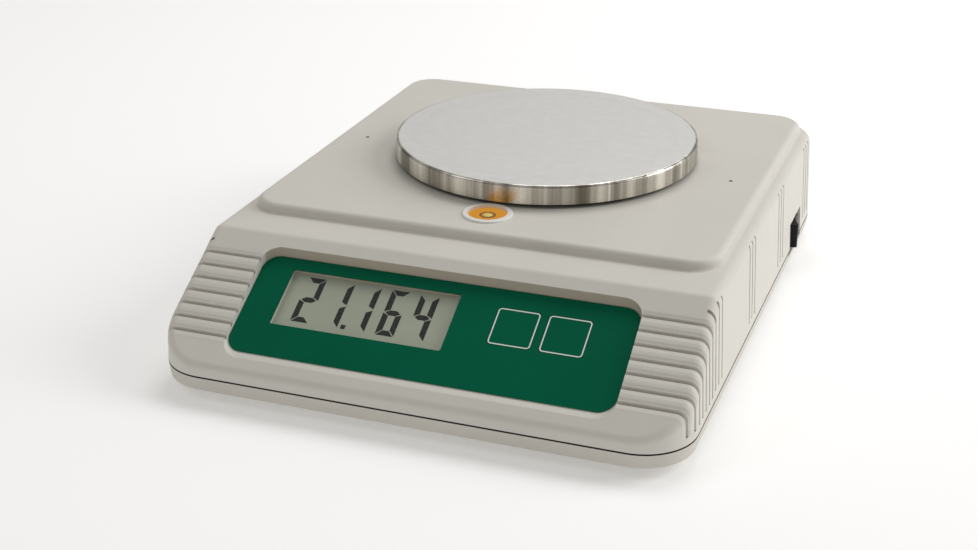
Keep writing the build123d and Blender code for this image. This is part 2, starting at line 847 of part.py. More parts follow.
with BuildPart() as display_lens:
    with BuildSketch(panel_plane):
        with Locations((window_x, window_v)):
            Rectangle(
                window_width + 2 * lens_lap - 2 * running_gap,
                window_height + 2 * lens_lap - 2 * running_gap,
            )
    extrude(amount=-lens_thickness)
finish(display_lens, "display_lens")

glass_width = window_width + 2 * glass_lap
glass_height = window_height + 2 * glass_lap
glass_plane = panel_plane.offset(-panel_skin)
with BuildPart() as lcd_panel:
    with BuildSketch(glass_plane):
        with Locations((window_x, window_v)):
            Rectangle(glass_width - 2 * glass_step, glass_height)
    extrude(amount=-glass_thickness / 2)
    with BuildSketch(glass_plane.offset(-glass_thickness / 2)):
        with Locations((window_x, window_v)):
            Rectangle(glass_width, glass_height - 2 * glass_step)
    extrude(amount=-glass_thickness / 2)
finish(lcd_panel, "lcd_panel")

with BuildPart() as lcd_frame:
    with BuildSketch(glass_plane):
        with Locations((window_x, window_v)):
            RectangleRounded(
                glass_width + 2 * frame_fit + 2 * frame_wall,
                glass_height + 2 * frame_fit + 2 * frame_wall,
                frame_wall,
            )
            Rectangle(glass_width + 2 * frame_fit, glass_height + 2 * frame_fit, mode=Mode.SUBTRACT)
    extrude(amount=panel_skin - board_drop)
finish(lcd_frame, "lcd_frame")

with BuildPart() as lcd_strips:
    with BuildSketch(glass_plane.offset(-glass_thickness)):
        with Locations((window_x, window_v)):
            with GridLocations(1, glass_height - 2 * glass_step - strip_width, 1, 2):
                Rectangle(glass_width - 4 * glass_step, strip_width)
    extrude(amount=panel_skin + glass_thickness - board_drop)
finish(lcd_strips, "lcd_strips")

with BuildPart() as display_board:
    with BuildSketch(board_plane):
        with Locations((display_board_x, 0)):
            RectangleRounded(display_board_width, display_board_height, board_corner)
            with GridLocations(*display_pitch, 2, 2):
                Circle(display_screw / 2 + screw_clearance, mode=Mode.SUBTRACT)
    extrude(amount=-board_thickness)
finish(display_board, "display_board")

display_spots = [
    Plane(
        origin=board_back.from_local_coords(
            (display_board_x + sx * display_pitch[0] / 2, sv * display_pitch[1] / 2, 0)
        ),
        x_dir=(1, 0, 0),
        z_dir=-board_back.z_dir,
    )
    for sx in (-1, 1)
    for sv in (-1, 1)
]
screw("display_board_screws", display_spots, display_screw, display_screw_length, display_screw_head)

with BuildPart() as key_switches:
    with BuildSketch(board_plane):
        with Locations((key_middle_x, key_v)):
            with GridLocations(key_pitch, 1, 2, 1):
                RectangleRounded(switch_cube, switch_cube, switch_corner)
    extrude(amount=switch_cube_height)
    with BuildSketch(board_plane.offset(switch_cube_height)):
        with Locations((key_middle_x, key_v)):
            with GridLocations(key_pitch, 1, 2, 1):
                Circle(key_stem / 2 + 2 * running_gap)
    extrude(amount=-switch_well, mode=Mode.SUBTRACT)
finish(key_switches, "key_switches")


def key(side, name):
    # A printed pad in the overlay, and the plunger under it that works the switch.
    centre = panel_plane.from_local_coords((key_middle_x + side * key_pitch / 2, key_v, 0))
    plane = Plane(origin=centre, x_dir=(1, 0, 0), z_dir=panel_plane.z_dir)
    with BuildPart() as pad:
        with BuildSketch(plane):
            RectangleRounded(key_size, key_size, key_corner)
        extrude(amount=overlay_thickness)
    finish(pad, f"{name}_pad")
    with BuildPart() as plunger:
        with BuildSketch(plane):
            Circle(key_plunger / 2)
        extrude(amount=-(board_drop - switch_cube_height - plunger_gap))
        with BuildSketch(plane):
            Circle(key_stem / 2)
        extrude(amount=-(board_drop - switch_cube_height + switch_well / 2))
        fillet(plunger.faces().sort_by(Axis(plane.origin, plane.z_dir))[0].edges(), stem_round)
    finish(plunger, f"{name}_plunger")


key(-1, "key_left")
key(1, "key_right")

# Weighing pan: a pressed dish, rim down, with a ring that drops round the support
pan_axis = Axis((0, pan_y, 0), (0, 0, 1))
pan_plane = Plane(origin=(0, pan_y, pan_bottom_z), x_dir=(1, 0, 0), z_dir=(0, -1, 0))
pan_radius = pan_diameter / 2
with BuildPart() as weighing_pan:
    with BuildSketch(pan_plane) as dish:
        with Locations((pan_radius / 2, pan_height - pan_sheet / 2)):
            Rectangle(pan_radius, pan_sheet)
        with Locations((pan_radius - pan_sheet / 2, pan_height / 2)):
            Rectangle(pan_sheet, pan_height)
        fillet(dish.vertices().group_by(Axis.X)[-1].sort_by(Axis.Y)[-1], pan_edge)
        with Locations(
            (
                support_radius + locating_gap + locating_ring / 2,
                pan_height - pan_sheet - locating_ring_height / 2,
            )
        ):
            Rectangle(locating_ring, locating_ring_height)
    revolve(axis=pan_axis)
finish(weighing_pan, "weighing_pan")

# What carries the pan: ring and arms, post, arm and spacer on the free end of the load cell
pan_under_z = pan_top_z - pan_sheet
support_top_z = pan_under_z - pad_height + pad_seat
support_z = support_top_z - support_thickness
arm_z = cell_z + cell_height + cell_spacer
post_z = arm_z + arm_thickness
pad_circle = support_radius - support_ring / 2 - 1

with BuildPart() as pan_support:
    with BuildSketch(Plane.XY.offset(support_z)) as spokes:
        with Locations((0, pan_y)):
            Circle(support_radius)
            Circle(support_radius - support_ring, mode=Mode.SUBTRACT)
            Circle(support_hub)
            Rectangle(2 * support_radius - support_ring, support_arm, rotation=45)
            Rectangle(2 * support_radius - support_ring, support_arm, rotation=-45)
    extrude(amount=support_thickness)
    fillet(pan_support.edges().filter_by(Axis.Z), support_fillet)
    with BuildSketch(Plane.XY.offset(support_top_z)):
        with Locations((0, pan_y)):
            with PolarLocations(pad_circle, 4, start_angle=45):
                Circle(pad_diameter / 2 + running_gap)
    extrude(amount=-pad_seat, mode=Mode.SUBTRACT)
    with Locations(Plane((0, pan_y, support_top_z))):
        CounterSinkHole(post_thread / 2 + screw_clearance, post_thread + head_clearance)
finish(pan_support, "pan_support")

with BuildPart() as pan_pads:
    with BuildSketch(Plane.XY.offset(support_top_z - pad_seat)):
        with Locations((0, pan_y)):
            with PolarLocations(pad_circle, 4, start_angle=45):
                Circle(pad_diameter / 2)
    extrude(amount=pad_height)
    fillet(pan_pads.edges().filter_by(GeomType.CIRCLE).group_by(Axis.Z)[-1], pad_round)
finish(pan_pads, "pan_pads")

with BuildPart() as carrier_post:
    with BuildSketch(Plane.XY.offset(post_z)):
        with Locations((0, pan_y)):
            Circle(post_diameter / 2)
    extrude(amount=support_z - post_z)
    chamfer(carrier_post.edges().group_by(Axis.Z)[-1], post_chamfer)
    with BuildSketch(Plane.XY.offset(post_z)):
        with Locations((0, pan_y)):
            Circle(post_thread / 2 + running_gap)
    extrude(amount=support_z - post_z, mode=Mode.SUBTRACT)
finish(carrier_post, "carrier_post")

with BuildPart() as carrier_arm:
    with BuildSketch(Plane.XY.offset(arm_z)):
        with Locations((0, (cell_front_y + pan_y + arm_width / 2) / 2)):
            RectangleRounded(arm_width, pan_y + arm_width / 2 - cell_front_y, arm_corner)
        with Locations((0, cell_free_y)):
            with GridLocations(1, cell_screw_pitch, 1, 2):
                Circle(cell_screw / 2 + screw_clearance, mode=Mode.SUBTRACT)
        with Locations((0, pan_y)):
            Circle(post_thread / 2 + screw_clearance, mode=Mode.SUBTRACT)
    extrude(amount=arm_thickness)
    flange = carrier_arm.faces().sort_by(Axis.Z)[-1]
    chamfer(flange.outer_wire().edges(), arm_chamfer)
finish(carrier_arm, "carrier_arm")

with BuildPart() as carrier_spacer:
    with BuildSketch(Plane.XY.offset(cell_z + cell_height)):
        with Locations((0, cell_free_y)):
            Rectangle(cell_width, cell_end)
            with GridLocations(1, cell_screw_pitch, 1, 2):
                Circle(cell_screw / 2 + screw_clearance, mode=Mode.SUBTRACT)
    extrude(amount=cell_spacer)
finish(carrier_spacer, "carrier_spacer")

screw(
    "carrier_screws",
    [Plane((0, cell_free_y + s * cell_screw_pitch / 2, post_z)) for s in (-1, 1)],
    cell_screw,
    arm_thickness + cell_spacer + cell_screw_grip,
    cell_screw_head,
)

# one screw down through the support and one up through the arm, both into the post
with BuildPart() as post_screws:
    with BuildSketch(Plane.XY.offset(support_top_z)):
        with Locations((0, pan_y)):
            Circle(post_thread)
    extrude(amount=-post_thread / 2, taper=45)
    with BuildSketch(Plane.XY.offset(support_top_z - post_thread / 4)):
        with Locations((0, pan_y)):
            Circle(post_thread / 2)
    extrude(amount=-post_screw_length)
    with BuildSketch(Plane.XY.offset(arm_z)):
        with Locations((0, pan_y)):
            Circle(post_thread * head_ratio / 2)
    extrude(amount=-post_screw_head)
    with BuildSketch(Plane.XY.offset(arm_z)):
        with Locations((0, pan_y)):
            Circle(post_thread / 2)
    extrude(amount=arm_thickness + post_screw_grip)
finish(post_screws, "post_screws")

# Load cell: a bending beam with a double-eyed slot, clamped at the back
eye_pitch = cell_length - 2 * cell_end - 2 * cell_web - cell_eye
with BuildPart() as load_cell:
    with BuildSketch(Plane.XY.offset(cell_z)):
        with Locations((0, pan_y)):
            Rectangle(cell_width, cell_length)
    extrude(amount=cell_height)
    chamfer(load_cell.edges().filter_by(Axis.Y), cell_chamfer)
    with BuildSketch(Plane.YZ.offset(-cell_width)):
        with Locations((pan_y, cell_z + cell_height / 2)):
            SlotCenterToCenter(eye_pitch, cell_slot)
            with GridLocations(eye_pitch, 1, 2, 1):
                Circle(cell_eye / 2)
    extrude(amount=2 * cell_width, mode=Mode.SUBTRACT)
    with BuildSketch(Plane.XY.offset(cell_z)):
        with Locations((0, cell_fixed_y), (0, cell_free_y)):
            with GridLocations(1, cell_screw_pitch, 1, 2):
                Circle(cell_screw / 2 + running_gap)
    extrude(amount=cell_height, mode=Mode.SUBTRACT)
finish(load_cell, "load_cell")

with BuildPart() as load_cell_spacer:
    with BuildSketch(Plane.XY.offset(cell_seat_z)):
        with Locations((0, cell_fixed_y)):
            Rectangle(spacer_width, cell_end)
            with GridLocations(1, cell_screw_pitch, 1, 2):
                Circle(cell_screw / 2 + screw_clearance, mode=Mode.SUBTRACT)
    extrude(amount=cell_spacer)
finish(load_cell_spacer, "load_cell_spacer")

screw(
    "load_cell_screws",
    [
        Plane((0, cell_fixed_y + s * cell_screw_pitch / 2, under_z + cell_screw_sink), z_dir=(0, 0, -1))
        for s in (-1, 1)
    ],
    cell_screw,
    cell_seat + cell_spacer - cell_screw_sink + cell_screw_grip,
    cell_screw_head,
)

stop_top_z = cell_z - stop_gap
stop_seat_z = floor_z + stop_boss_height
with BuildPart() as overload_stop:
    with BuildSketch(Plane.XY.offset(floor_z + 1)):
        with Locations((0, cell_free_y)):
            Circle(cell_screw / 2)
    extrude(amount=stop_top_z - floor_z - 1)
finish(overload_stop, "overload_stop")

with BuildPart() as stop_nut:
    with BuildSketch(Plane.XY.offset(stop_seat_z)):
        with Locations((0, cell_free_y)):
            RegularPolygon(stop_nut_width / 2, 6, major_radius=False)
            Circle(cell_screw / 2 + running_gap, mode=Mode.SUBTRACT)
    extrude(amount=stop_nut_height)
finish(stop_nut, "stop_nut")

# Main board with its parts
with BuildPart() as main_board:
    with BuildSketch(Plane.XY.offset(main_board_z)):
        with Locations((main_x, main_y)):
            RectangleRounded(main_width, main_length, board_corner)
            with GridLocations(*main_pitch, 2, 2):
                Circle(main_screw / 2 + screw_clearance, mode=Mode.SUBTRACT)
    extrude(amount=board_thickness)
finish(main_board, "main_board")

main_top_z = main_board_z + board_thickness
screw(
    "main_board_screws",
    [
        Plane((main_x + sx * main_pitch[0] / 2, main_y + sy * main_pitch[1] / 2, main_top_z))
        for sx in (-1, 1)
        for sy in (-1, 1)
    ],
    main_screw,
    main_screw_length,
    main_screw_head,
)

with BuildPart() as board_chips:
    with BuildSketch(Plane.XY.offset(main_top_z)):
        for x, y, width, length in chips:
            with Locations((main_x + x, main_y + y)):
                Rectangle(width, length)
    extrude(amount=chip_height)
    chamfer(board_chips.faces().filter_by(Plane.XY).group_by(Axis.Z)[-1].edges(), chip_chamfer)
finish(board_chips, "board_chips")

with BuildPart() as capacitors:
    for x, y, radius, height in cans:
        with BuildSketch(Plane.XY.offset(main_top_z)):
            with Locations((main_x + x, main_y + y)):
                Circle(radius)
        extrude(amount=height)
        fillet(capacitors.faces(Select.LAST).sort_by(Axis.Z)[-1].edges(), can_round)
finish(capacitors, "capacitors")

connector_z = main_top_z + connector_height / 2
board_front_y = main_y - main_length / 2
board_back_y = main_y + main_length / 2
board_left_x = main_x - main_width / 2
front_socket_y = board_front_y + connector_inset
back_socket_y = board_back_y - connector_inset
left_socket_x = board_left_x + connector_edge
ribbon_header = board_back.from_local_coords((ribbon_x, ribbon_v, -connector_height))
power_x = (main_x - power_pitch / 2, main_x + power_pitch / 2)
cell_socket_y = main_y + side_pitch / 2
bay_socket_y = main_y - side_pitch / 2
with BuildPart() as board_connectors:
    with BuildSketch(Plane.XY.offset(main_top_z)):
        with Locations((ribbon_x, front_socket_y + connector_depth / 2)):
            Rectangle(ribbon_width + 2 * connector_end, connector_depth)
        with Locations(*[(x, back_socket_y - connector_depth / 2) for x in power_x]):
            Rectangle(power_socket, connector_depth)
        with Locations(*[(left_socket_x + connector_depth / 2, y) for y in (cell_socket_y, bay_socket_y)]):
            Rectangle(connector_depth, side_socket)
    extrude(amount=connector_height)
    with BuildSketch(board_back):
        with Locations((ribbon_x, ribbon_v)):
            Rectangle(ribbon_width + 2 * connector_end, connector_depth)
    extrude(amount=-connector_height)
finish(board_connectors, "board_connectors")


def bend_radii(points):
    # The largest radius that each corner of a route has room for.
    corners = []
    for before, corner, after in zip(points, points[1:], points[2:]):
        run_in = Vector(*corner) - Vector(*before)
        run_out = Vector(*after) - Vector(*corner)
        half_turn = math.radians(run_in.get_angle(run_out)) / 2
        corners.append(0.45 * min(run_in.length, run_out.length) / math.tan(half_turn))
    return corners


# Ribbon cable from the display board to the main board
header_y, header_z = ribbon_header.Y, ribbon_header.Z
bend_y = header_y + ribbon_fall * math.sin(panel_rad)
bend_z = header_z - ribbon_fall * math.cos(panel_rad)
ribbon_points = [
    (ribbon_x, header_y, header_z),
    (ribbon_x, bend_y, bend_z),
    (ribbon_x, front_socket_y - ribbon_run, connector_z),
    (ribbon_x, front_socket_y, connector_z),
]
with BuildPart() as ribbon_cable:
    with BuildLine() as ribbon_path:
        FilletPolyline(*ribbon_points, radius=bend_radii(ribbon_points))
    with BuildSketch(Plane(origin=ribbon_path.line @ 0, x_dir=(1, 0, 0), z_dir=ribbon_path.line % 0)):
        Rectangle(ribbon_width, ribbon_thickness)
    sweep()
finish(ribbon_cable, "ribbon_cable")


def lead(points):
    # One round lead along straight runs joined by arcs.
    with BuildPart() as tube:
        with BuildLine() as path:
            FilletPolyline(*points, radius=bend_radii(points))
        with BuildSketch(Plane(origin=path.line @ 0, z_dir=path.line % 0)):
            Circle(lead_radius)
        sweep()
    return tube.part


# Power switch: body, blades and rocker; the rocker turns on an upright pin
rocker_x = notch_back_x + bezel_thickness - rocker_axis_sink
pin_hole_z = switch_centre_z - rocker_height / 2 - rocker_pin_end - rocker_gap / 2
with BuildPart() as switch_body:
    with BuildSketch(Plane.YZ.offset(notch_back_x)):
        with Locations((switch_y, switch_centre_z)):
            RectangleRounded(bezel_length, bezel_height, bezel_corner)
    extrude(amount=bezel_thickness)
    chamfer(switch_body.faces().sort_by(Axis.X)[-1].edges(), bezel_chamfer)
    with BuildSketch(Plane.YZ.offset(notch_back_x)):
        with Locations((switch_y, switch_centre_z)):
            Rectangle(switch_length, switch_height)
    extrude(amount=-switch_depth)
    # well for the rocker, and the holes for its pin
    with BuildSketch(Plane.XY.offset(switch_centre_z - rocker_height / 2 - rocker_gap)):
        with Locations((rocker_x, switch_y)):
            Circle(rocker_length / 2 + rocker_gap)
        with Locations((rocker_x + rocker_axis_sink, switch_y)):
            Rectangle(2 * rocker_axis_sink, rocker_length + 5 * rocker_gap)
    extrude(amount=rocker_height + 2 * rocker_gap, mode=Mode.SUBTRACT)
    with BuildSketch(Plane.XY.offset(pin_hole_z)):
        with Locations((rocker_x, switch_y)):
            Circle(rocker_pin / 2 + running_gap)
    extrude(amount=rocker_height + 2 * rocker_pin_end + rocker_gap, mode=Mode.SUBTRACT)
finish(switch_body, "switch_body")

rocker_plane = Plane(
    origin=(rocker_x, switch_y, switch_centre_z - rocker_height / 2),
    x_dir=(-math.sin(math.radians(rocker_tilt)), math.cos(math.radians(rocker_tilt)), 0),
    z_dir=(0, 0, -1),
)
half_rocker = rocker_length / 2
with BuildPart() as rocker:
    with BuildSketch(rocker_plane) as rocker_side:
        with BuildLine():
            Polyline(
                (half_rocker, rocker_end),
                (half_rocker, rocker_flank),
                (half_rocker / 2, -rocker_keel),
                (-half_rocker / 2, -rocker_keel),
                (-half_rocker, rocker_flank),
                (-half_rocker, rocker_end),
            )
            ThreePointArc((-half_rocker, rocker_end), (0, rocker_dip), (half_rocker, rocker_end))
        make_face()
    extrude(amount=-rocker_height)
    corners = rocker.edges().filter_by(Axis.Z).sort_by(Axis((rocker_x, switch_y, 0), (1, 0, 0)))[-2:]
    fillet(corners, rocker_round)
    with BuildSketch(rocker_plane.offset(rocker_pin_end)):
        Circle(rocker_pin / 2)
    extrude(amount=-(rocker_height + 2 * rocker_pin_end))
finish(rocker, "rocker")

with BuildPart() as switch_terminals:
    with BuildSketch(Plane.YZ.offset(notch_back_x - switch_depth)):
        with Locations((switch_y, switch_centre_z)):
            with GridLocations(2 * terminal_width, 1, 2, 1):
                Rectangle(terminal_thickness, terminal_width)
    extrude(amount=-terminal_length)
finish(switch_terminals, "switch_terminals")

# Bull's-eye level in the platform
ring_top_z = platform_z + level_ring_height
with BuildPart() as level_holder:
    with BuildSketch(Plane.XY.offset(platform_z)):
        with Locations((0, level_y)):
            Circle(level_ring / 2)
    extrude(amount=level_ring_height)
    fillet(level_holder.edges().group_by(Axis.Z)[-1], level_ring_round)
    with BuildSketch(Plane.XY.offset(platform_z)):
        with Locations((0, level_y)):
            Circle(level_cup / 2)
    extrude(amount=-level_depth)
    with BuildSketch(Plane.XY.offset(ring_top_z)):
        with Locations((0, level_y)):
            Circle(level_bore / 2)
    extrude(amount=level_floor - level_depth - level_ring_height, mode=Mode.SUBTRACT)
finish(level_holder, "level_holder")

liquid_z = platform_z - level_depth + level_floor
cap_z = ring_top_z - level_cap - level_cap_sink
with BuildPart() as level_liquid:
    with BuildSketch(Plane.XY.offset(liquid_z)):
        with Locations((0, level_y)):
            Circle(level_bore / 2 - running_gap)
    extrude(amount=cap_z - liquid_z)
finish(level_liquid, "level_liquid")

with BuildPart() as level_window:
    with BuildSketch(Plane.XY.offset(cap_z)):
        with Locations((0, level_y)):
            Circle(level_bore / 2 - running_gap)
    extrude(amount=level_cap)
    chamfer(level_window.edges().group_by(Axis.Z)[-1], level_cap_chamfer)
finish(level_window, "level_window")

# Power inlet in the back wall
with BuildPart() as dc_inlet:
    with BuildSketch(inlet_plane):
        Circle(inlet_flange / 2)
    extrude(amount=inlet_flange_height)
    chamfer(dc_inlet.faces().sort_by(Axis.Y)[-1].edges(), inlet_chamfer)
    with BuildSketch(inlet_plane):
        Circle(inlet_barrel / 2)
    extrude(amount=-inlet_depth)
    with BuildSketch(inlet_plane.offset(inlet_flange_height)):
        Circle(inlet_bore / 2)
    extrude(amount=-(inlet_depth + inlet_flange_height - inlet_floor), mode=Mode.SUBTRACT)
finish(dc_inlet, "dc_inlet")

with BuildPart() as inlet_pin:
    with BuildSketch(inlet_plane.offset(inlet_floor - inlet_depth)):
        Circle(inlet_pin_diameter / 2)
    extrude(amount=inlet_depth + inlet_flange_height - inlet_floor - inlet_pin_sink)
    fillet(inlet_pin.edges().group_by(Axis.Y)[-1], inlet_pin_round)
finish(inlet_pin, "inlet_pin")

with BuildPart() as inlet_nut:
    with BuildSketch(inlet_plane.offset(-wall)):
        RegularPolygon(inlet_nut_width / 2, 6, major_radius=False)
        Circle(inlet_barrel / 2 + running_gap, mode=Mode.SUBTRACT)
    extrude(amount=-inlet_nut_height)
finish(inlet_nut, "inlet_nut")

# Battery with its snap, and the door of its bay
battery_middle_y = battery_front_y + battery_length / 2
stud_z = battery_z + battery_height / 2
snap_width = battery_width - 1
with BuildPart() as battery:
    with BuildSketch(Plane.XY.offset(battery_z)):
        with Locations((battery_x, battery_middle_y)):
            Rectangle(battery_width, battery_length)
    extrude(amount=battery_height)
    fillet(battery.edges().filter_by(Axis.Y), battery_round)
    with BuildSketch(Plane.XZ.offset(-battery_front_y)):
        with Locations((battery_x, stud_z)):
            with GridLocations(battery_stud_pitch, 1, 2, 1):
                Circle(battery_stud)
    extrude(amount=battery_stud_height)
finish(battery, "battery")

with BuildPart() as battery_snap:
    with BuildSketch(Plane.XZ.offset(-(snap_y + snap_thickness / 2))):
        with Locations((battery_x, stud_z)):
            RectangleRounded(snap_width, snap_height, snap_corner)
            with GridLocations(battery_stud_pitch, 1, 2, 1):
                Circle(battery_stud + 2 * running_gap, mode=Mode.SUBTRACT)
    extrude(amount=snap_thickness)
    with BuildSketch(Plane.XZ.offset(-(snap_y - snap_thickness / 2))):
        with Locations((battery_x, stud_z)):
            RectangleRounded(snap_width, snap_height, snap_corner)
    extrude(amount=snap_skin)
finish(battery_snap, "battery_snap")

door_front_y = battery_y - bay_length / 2 + door_gap
door_back_y = battery_y + bay_length / 2 - door_gap
door_axis_y = door_front_y + door_thickness / 2
with BuildPart() as battery_door:
    # plate with a round nose, which the door swings about
    with BuildSketch(Plane.YZ.offset(battery_x - bay_width / 2 + door_gap)):
        with Locations(((door_axis_y + door_back_y) / 2, under_z + door_thickness / 2)):
            Rectangle(door_back_y - door_axis_y, door_thickness)
        with Locations((door_axis_y, under_z + door_thickness / 2)):
            Circle(door_thickness / 2)
    extrude(amount=bay_width - 2 * door_gap)
    # ribs under the battery
    with BuildSketch(Plane.XY.offset(door_inner_z)):
        with Locations((battery_x, battery_middle_y)):
            with GridLocations(bay_width / 2, 1, 2, 1):
                Rectangle(door_rib_width, battery_length - 2 * door_rib_short)
    extrude(amount=door_rib)
    # two hooks over the ledge at the front end
    with BuildSketch(Plane.XY.offset(under_z + hook_lift)):
        with Locations((battery_x, door_front_y + (hook_root - hook_reach) / 2)):
            with GridLocations(hook_spread, 1, 2, 1):
                Rectangle(hook_width, hook_reach + hook_root)
    extrude(amount=hook_thickness)
    # thumb hollow at the back end
    with BuildSketch(Plane.XY.offset(under_z)):
        with Locations((battery_x, door_back_y - thumb_inset)):
            SlotOverall(thumb_length, thumb_width)
    extrude(amount=thumb_depth, mode=Mode.SUBTRACT)
finish(battery_door, "battery_door")

# Leads from the load cell, the inlet, the switch and the battery to the main board
inlet_back = inlet_plane.offset(-inlet_depth)
inlet_run = inlet_plane.offset(-inlet_depth - inlet_lead_run)
terminal_x = notch_back_x - switch_depth - terminal_length
bay_side_x = battery_x + snap_width / 2
cell_lead_y = cell_fixed_y - cell_lead_inset
cell_lead_x = cell_width / 2 + cell_lead_run
cell_middle_z = cell_z + cell_height / 2
low_z = floor_z + lead_floor_gap
routes = [
    [
        (cell_width / 2, cell_lead_y, cell_middle_z),
        (cell_lead_x, cell_lead_y, cell_middle_z),
        (cell_lead_x, cell_socket_y, connector_z),
        (left_socket_x, cell_socket_y, connector_z),
    ],
    [
        tuple(inlet_back.origin),
        tuple(inlet_run.origin),
        (power_x[0], back_socket_y + inlet_lead_turn, connector_z),
        (power_x[0], back_socket_y, connector_z),
    ],
    [
        (terminal_x, switch_y - terminal_width, switch_centre_z),
        (terminal_x - switch_lead_run, switch_y - terminal_width, switch_centre_z),
        (power_x[1], back_socket_y + switch_lead_turn, connector_z),
        (power_x[1], back_socket_y, connector_z),
    ],
    [
        (bay_side_x, snap_y, stud_z),
        (bay_side_x + battery_lead_run, snap_y, stud_z),
        (battery_lead_x, bay_socket_y - battery_lead_shift, low_z),
        (0, bay_socket_y, low_z),
        (left_socket_x - socket_lead_run, bay_socket_y, connector_z),
        (left_socket_x, bay_socket_y, connector_z),
    ],
]
with BuildPart() as internal_leads:
    for route in routes:
        add(lead(route))
finish(internal_leads, "internal_leads")

# Levelling feet: knob with a steel stud and a rubber pad, and the threaded insert above it
knob_z = foot_pad_height - foot_pad_seat
knob_top_z = knob_z + foot_knob_height
with BuildPart() as foot_inserts:
    with BuildSketch(Plane.XY.offset(foot_pocket_z + foot_pocket_wall)):
        with Locations(*feet.values()):
            Circle(foot_stud / 2 + insert_wall)
            Circle(foot_stud / 2 + running_gap, mode=Mode.SUBTRACT)
    extrude(amount=insert_length)
finish(foot_inserts, "foot_inserts")

for corner, (x, y) in feet.items():
    with BuildPart() as knob:
        with BuildSketch(Plane.XY.offset(knob_z)):
            with Locations((x, y)):
                Circle(foot_knob / 2)
                with PolarLocations(foot_knob / 2 + foot_notch / 8, foot_notches):
                    Circle(foot_notch / 2, mode=Mode.SUBTRACT)
        extrude(amount=foot_knob_height)
        with BuildSketch(Plane.XY.offset(knob_z)):
            with Locations((x, y)):
                Circle(foot_pad_width / 2 + running_gap)
        extrude(amount=foot_pad_seat, mode=Mode.SUBTRACT)
        with BuildSketch(Plane.XY.offset(knob_z + foot_knob_web)):
            with Locations((x, y)):
                Circle(foot_stud / 2 + running_gap)
        extrude(amount=foot_knob_height, mode=Mode.SUBTRACT)
    finish(knob, f"foot_{corner}_knob")
    with BuildPart() as stud:
        with BuildSketch(Plane.XY.offset(knob_z + foot_knob_web)):
            with Locations((x, y)):
                Circle(foot_stud / 2)
        extrude(amount=knob_top_z + foot_stud_length - knob_z - foot_knob_web)
        chamfer(stud.edges().group_by(Axis.Z)[-1], foot_stud_chamfer)
    finish(stud, f"foot_{corner}_stud")
    with BuildPart() as pad:
        with BuildSketch(Plane.XY):
            with Locations((x, y)):
                Circle(foot_pad_width / 2)
        extrude(amount=foot_pad_height)
        fillet(pad.edges().group_by(Axis.Z)[0], foot_pad_round)
    finish(pad, f"foot_{corner}_pad")
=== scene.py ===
import math

import bmesh
import bpy
from mathutils import Euler, Matrix, Vector


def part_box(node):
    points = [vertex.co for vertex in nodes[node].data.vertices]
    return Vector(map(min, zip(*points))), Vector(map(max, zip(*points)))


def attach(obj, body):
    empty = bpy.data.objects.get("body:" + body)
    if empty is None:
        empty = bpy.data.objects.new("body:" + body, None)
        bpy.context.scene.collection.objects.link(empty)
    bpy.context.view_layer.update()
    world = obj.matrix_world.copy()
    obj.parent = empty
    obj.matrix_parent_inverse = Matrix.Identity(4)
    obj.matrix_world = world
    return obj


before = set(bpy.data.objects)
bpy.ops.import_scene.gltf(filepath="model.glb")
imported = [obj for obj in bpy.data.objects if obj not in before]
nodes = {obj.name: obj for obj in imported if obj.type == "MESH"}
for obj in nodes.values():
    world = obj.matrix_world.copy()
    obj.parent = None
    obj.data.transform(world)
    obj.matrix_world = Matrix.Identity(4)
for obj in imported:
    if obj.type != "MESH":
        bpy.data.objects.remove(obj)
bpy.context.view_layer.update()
mm = 0.001
print("frame loaded:", len(nodes), "nodes")


# shader maths: a socket that adds Math nodes when Python adds, multiplies or compares it
class Wire:
    def __init__(self, mat, socket):
        self.mat = mat
        self.socket = socket

    def maths(self, operation, *values):
        return self.mat.node("ShaderNodeMath", {"operation": operation}, dict(enumerate(values)))[0]

    def __add__(self, other):
        return self.maths("ADD", self, other)

    def __sub__(self, other):
        return self.maths("SUBTRACT", self, other)

    def __rsub__(self, other):
        return self.maths("SUBTRACT", other, self)

    def __mul__(self, other):
        return self.maths("MULTIPLY", self, other)

    def __mod__(self, other):
        return self.maths("FLOORED_MODULO", self, other)

    def __abs__(self):
        return self.maths("ABSOLUTE", self)

    def __gt__(self, other):
        return self.maths("GREATER_THAN", self, other)

    def __lt__(self, other):
        return self.maths("LESS_THAN", self, other)

    __radd__ = __add__
    __rmul__ = __mul__


# a node in its tree, whose outputs are read as wires
class Placed:
    def __init__(self, mat, made):
        self.mat = mat
        self.made = made

    def __getitem__(self, output):
        return Wire(self.mat, self.made.outputs[output])


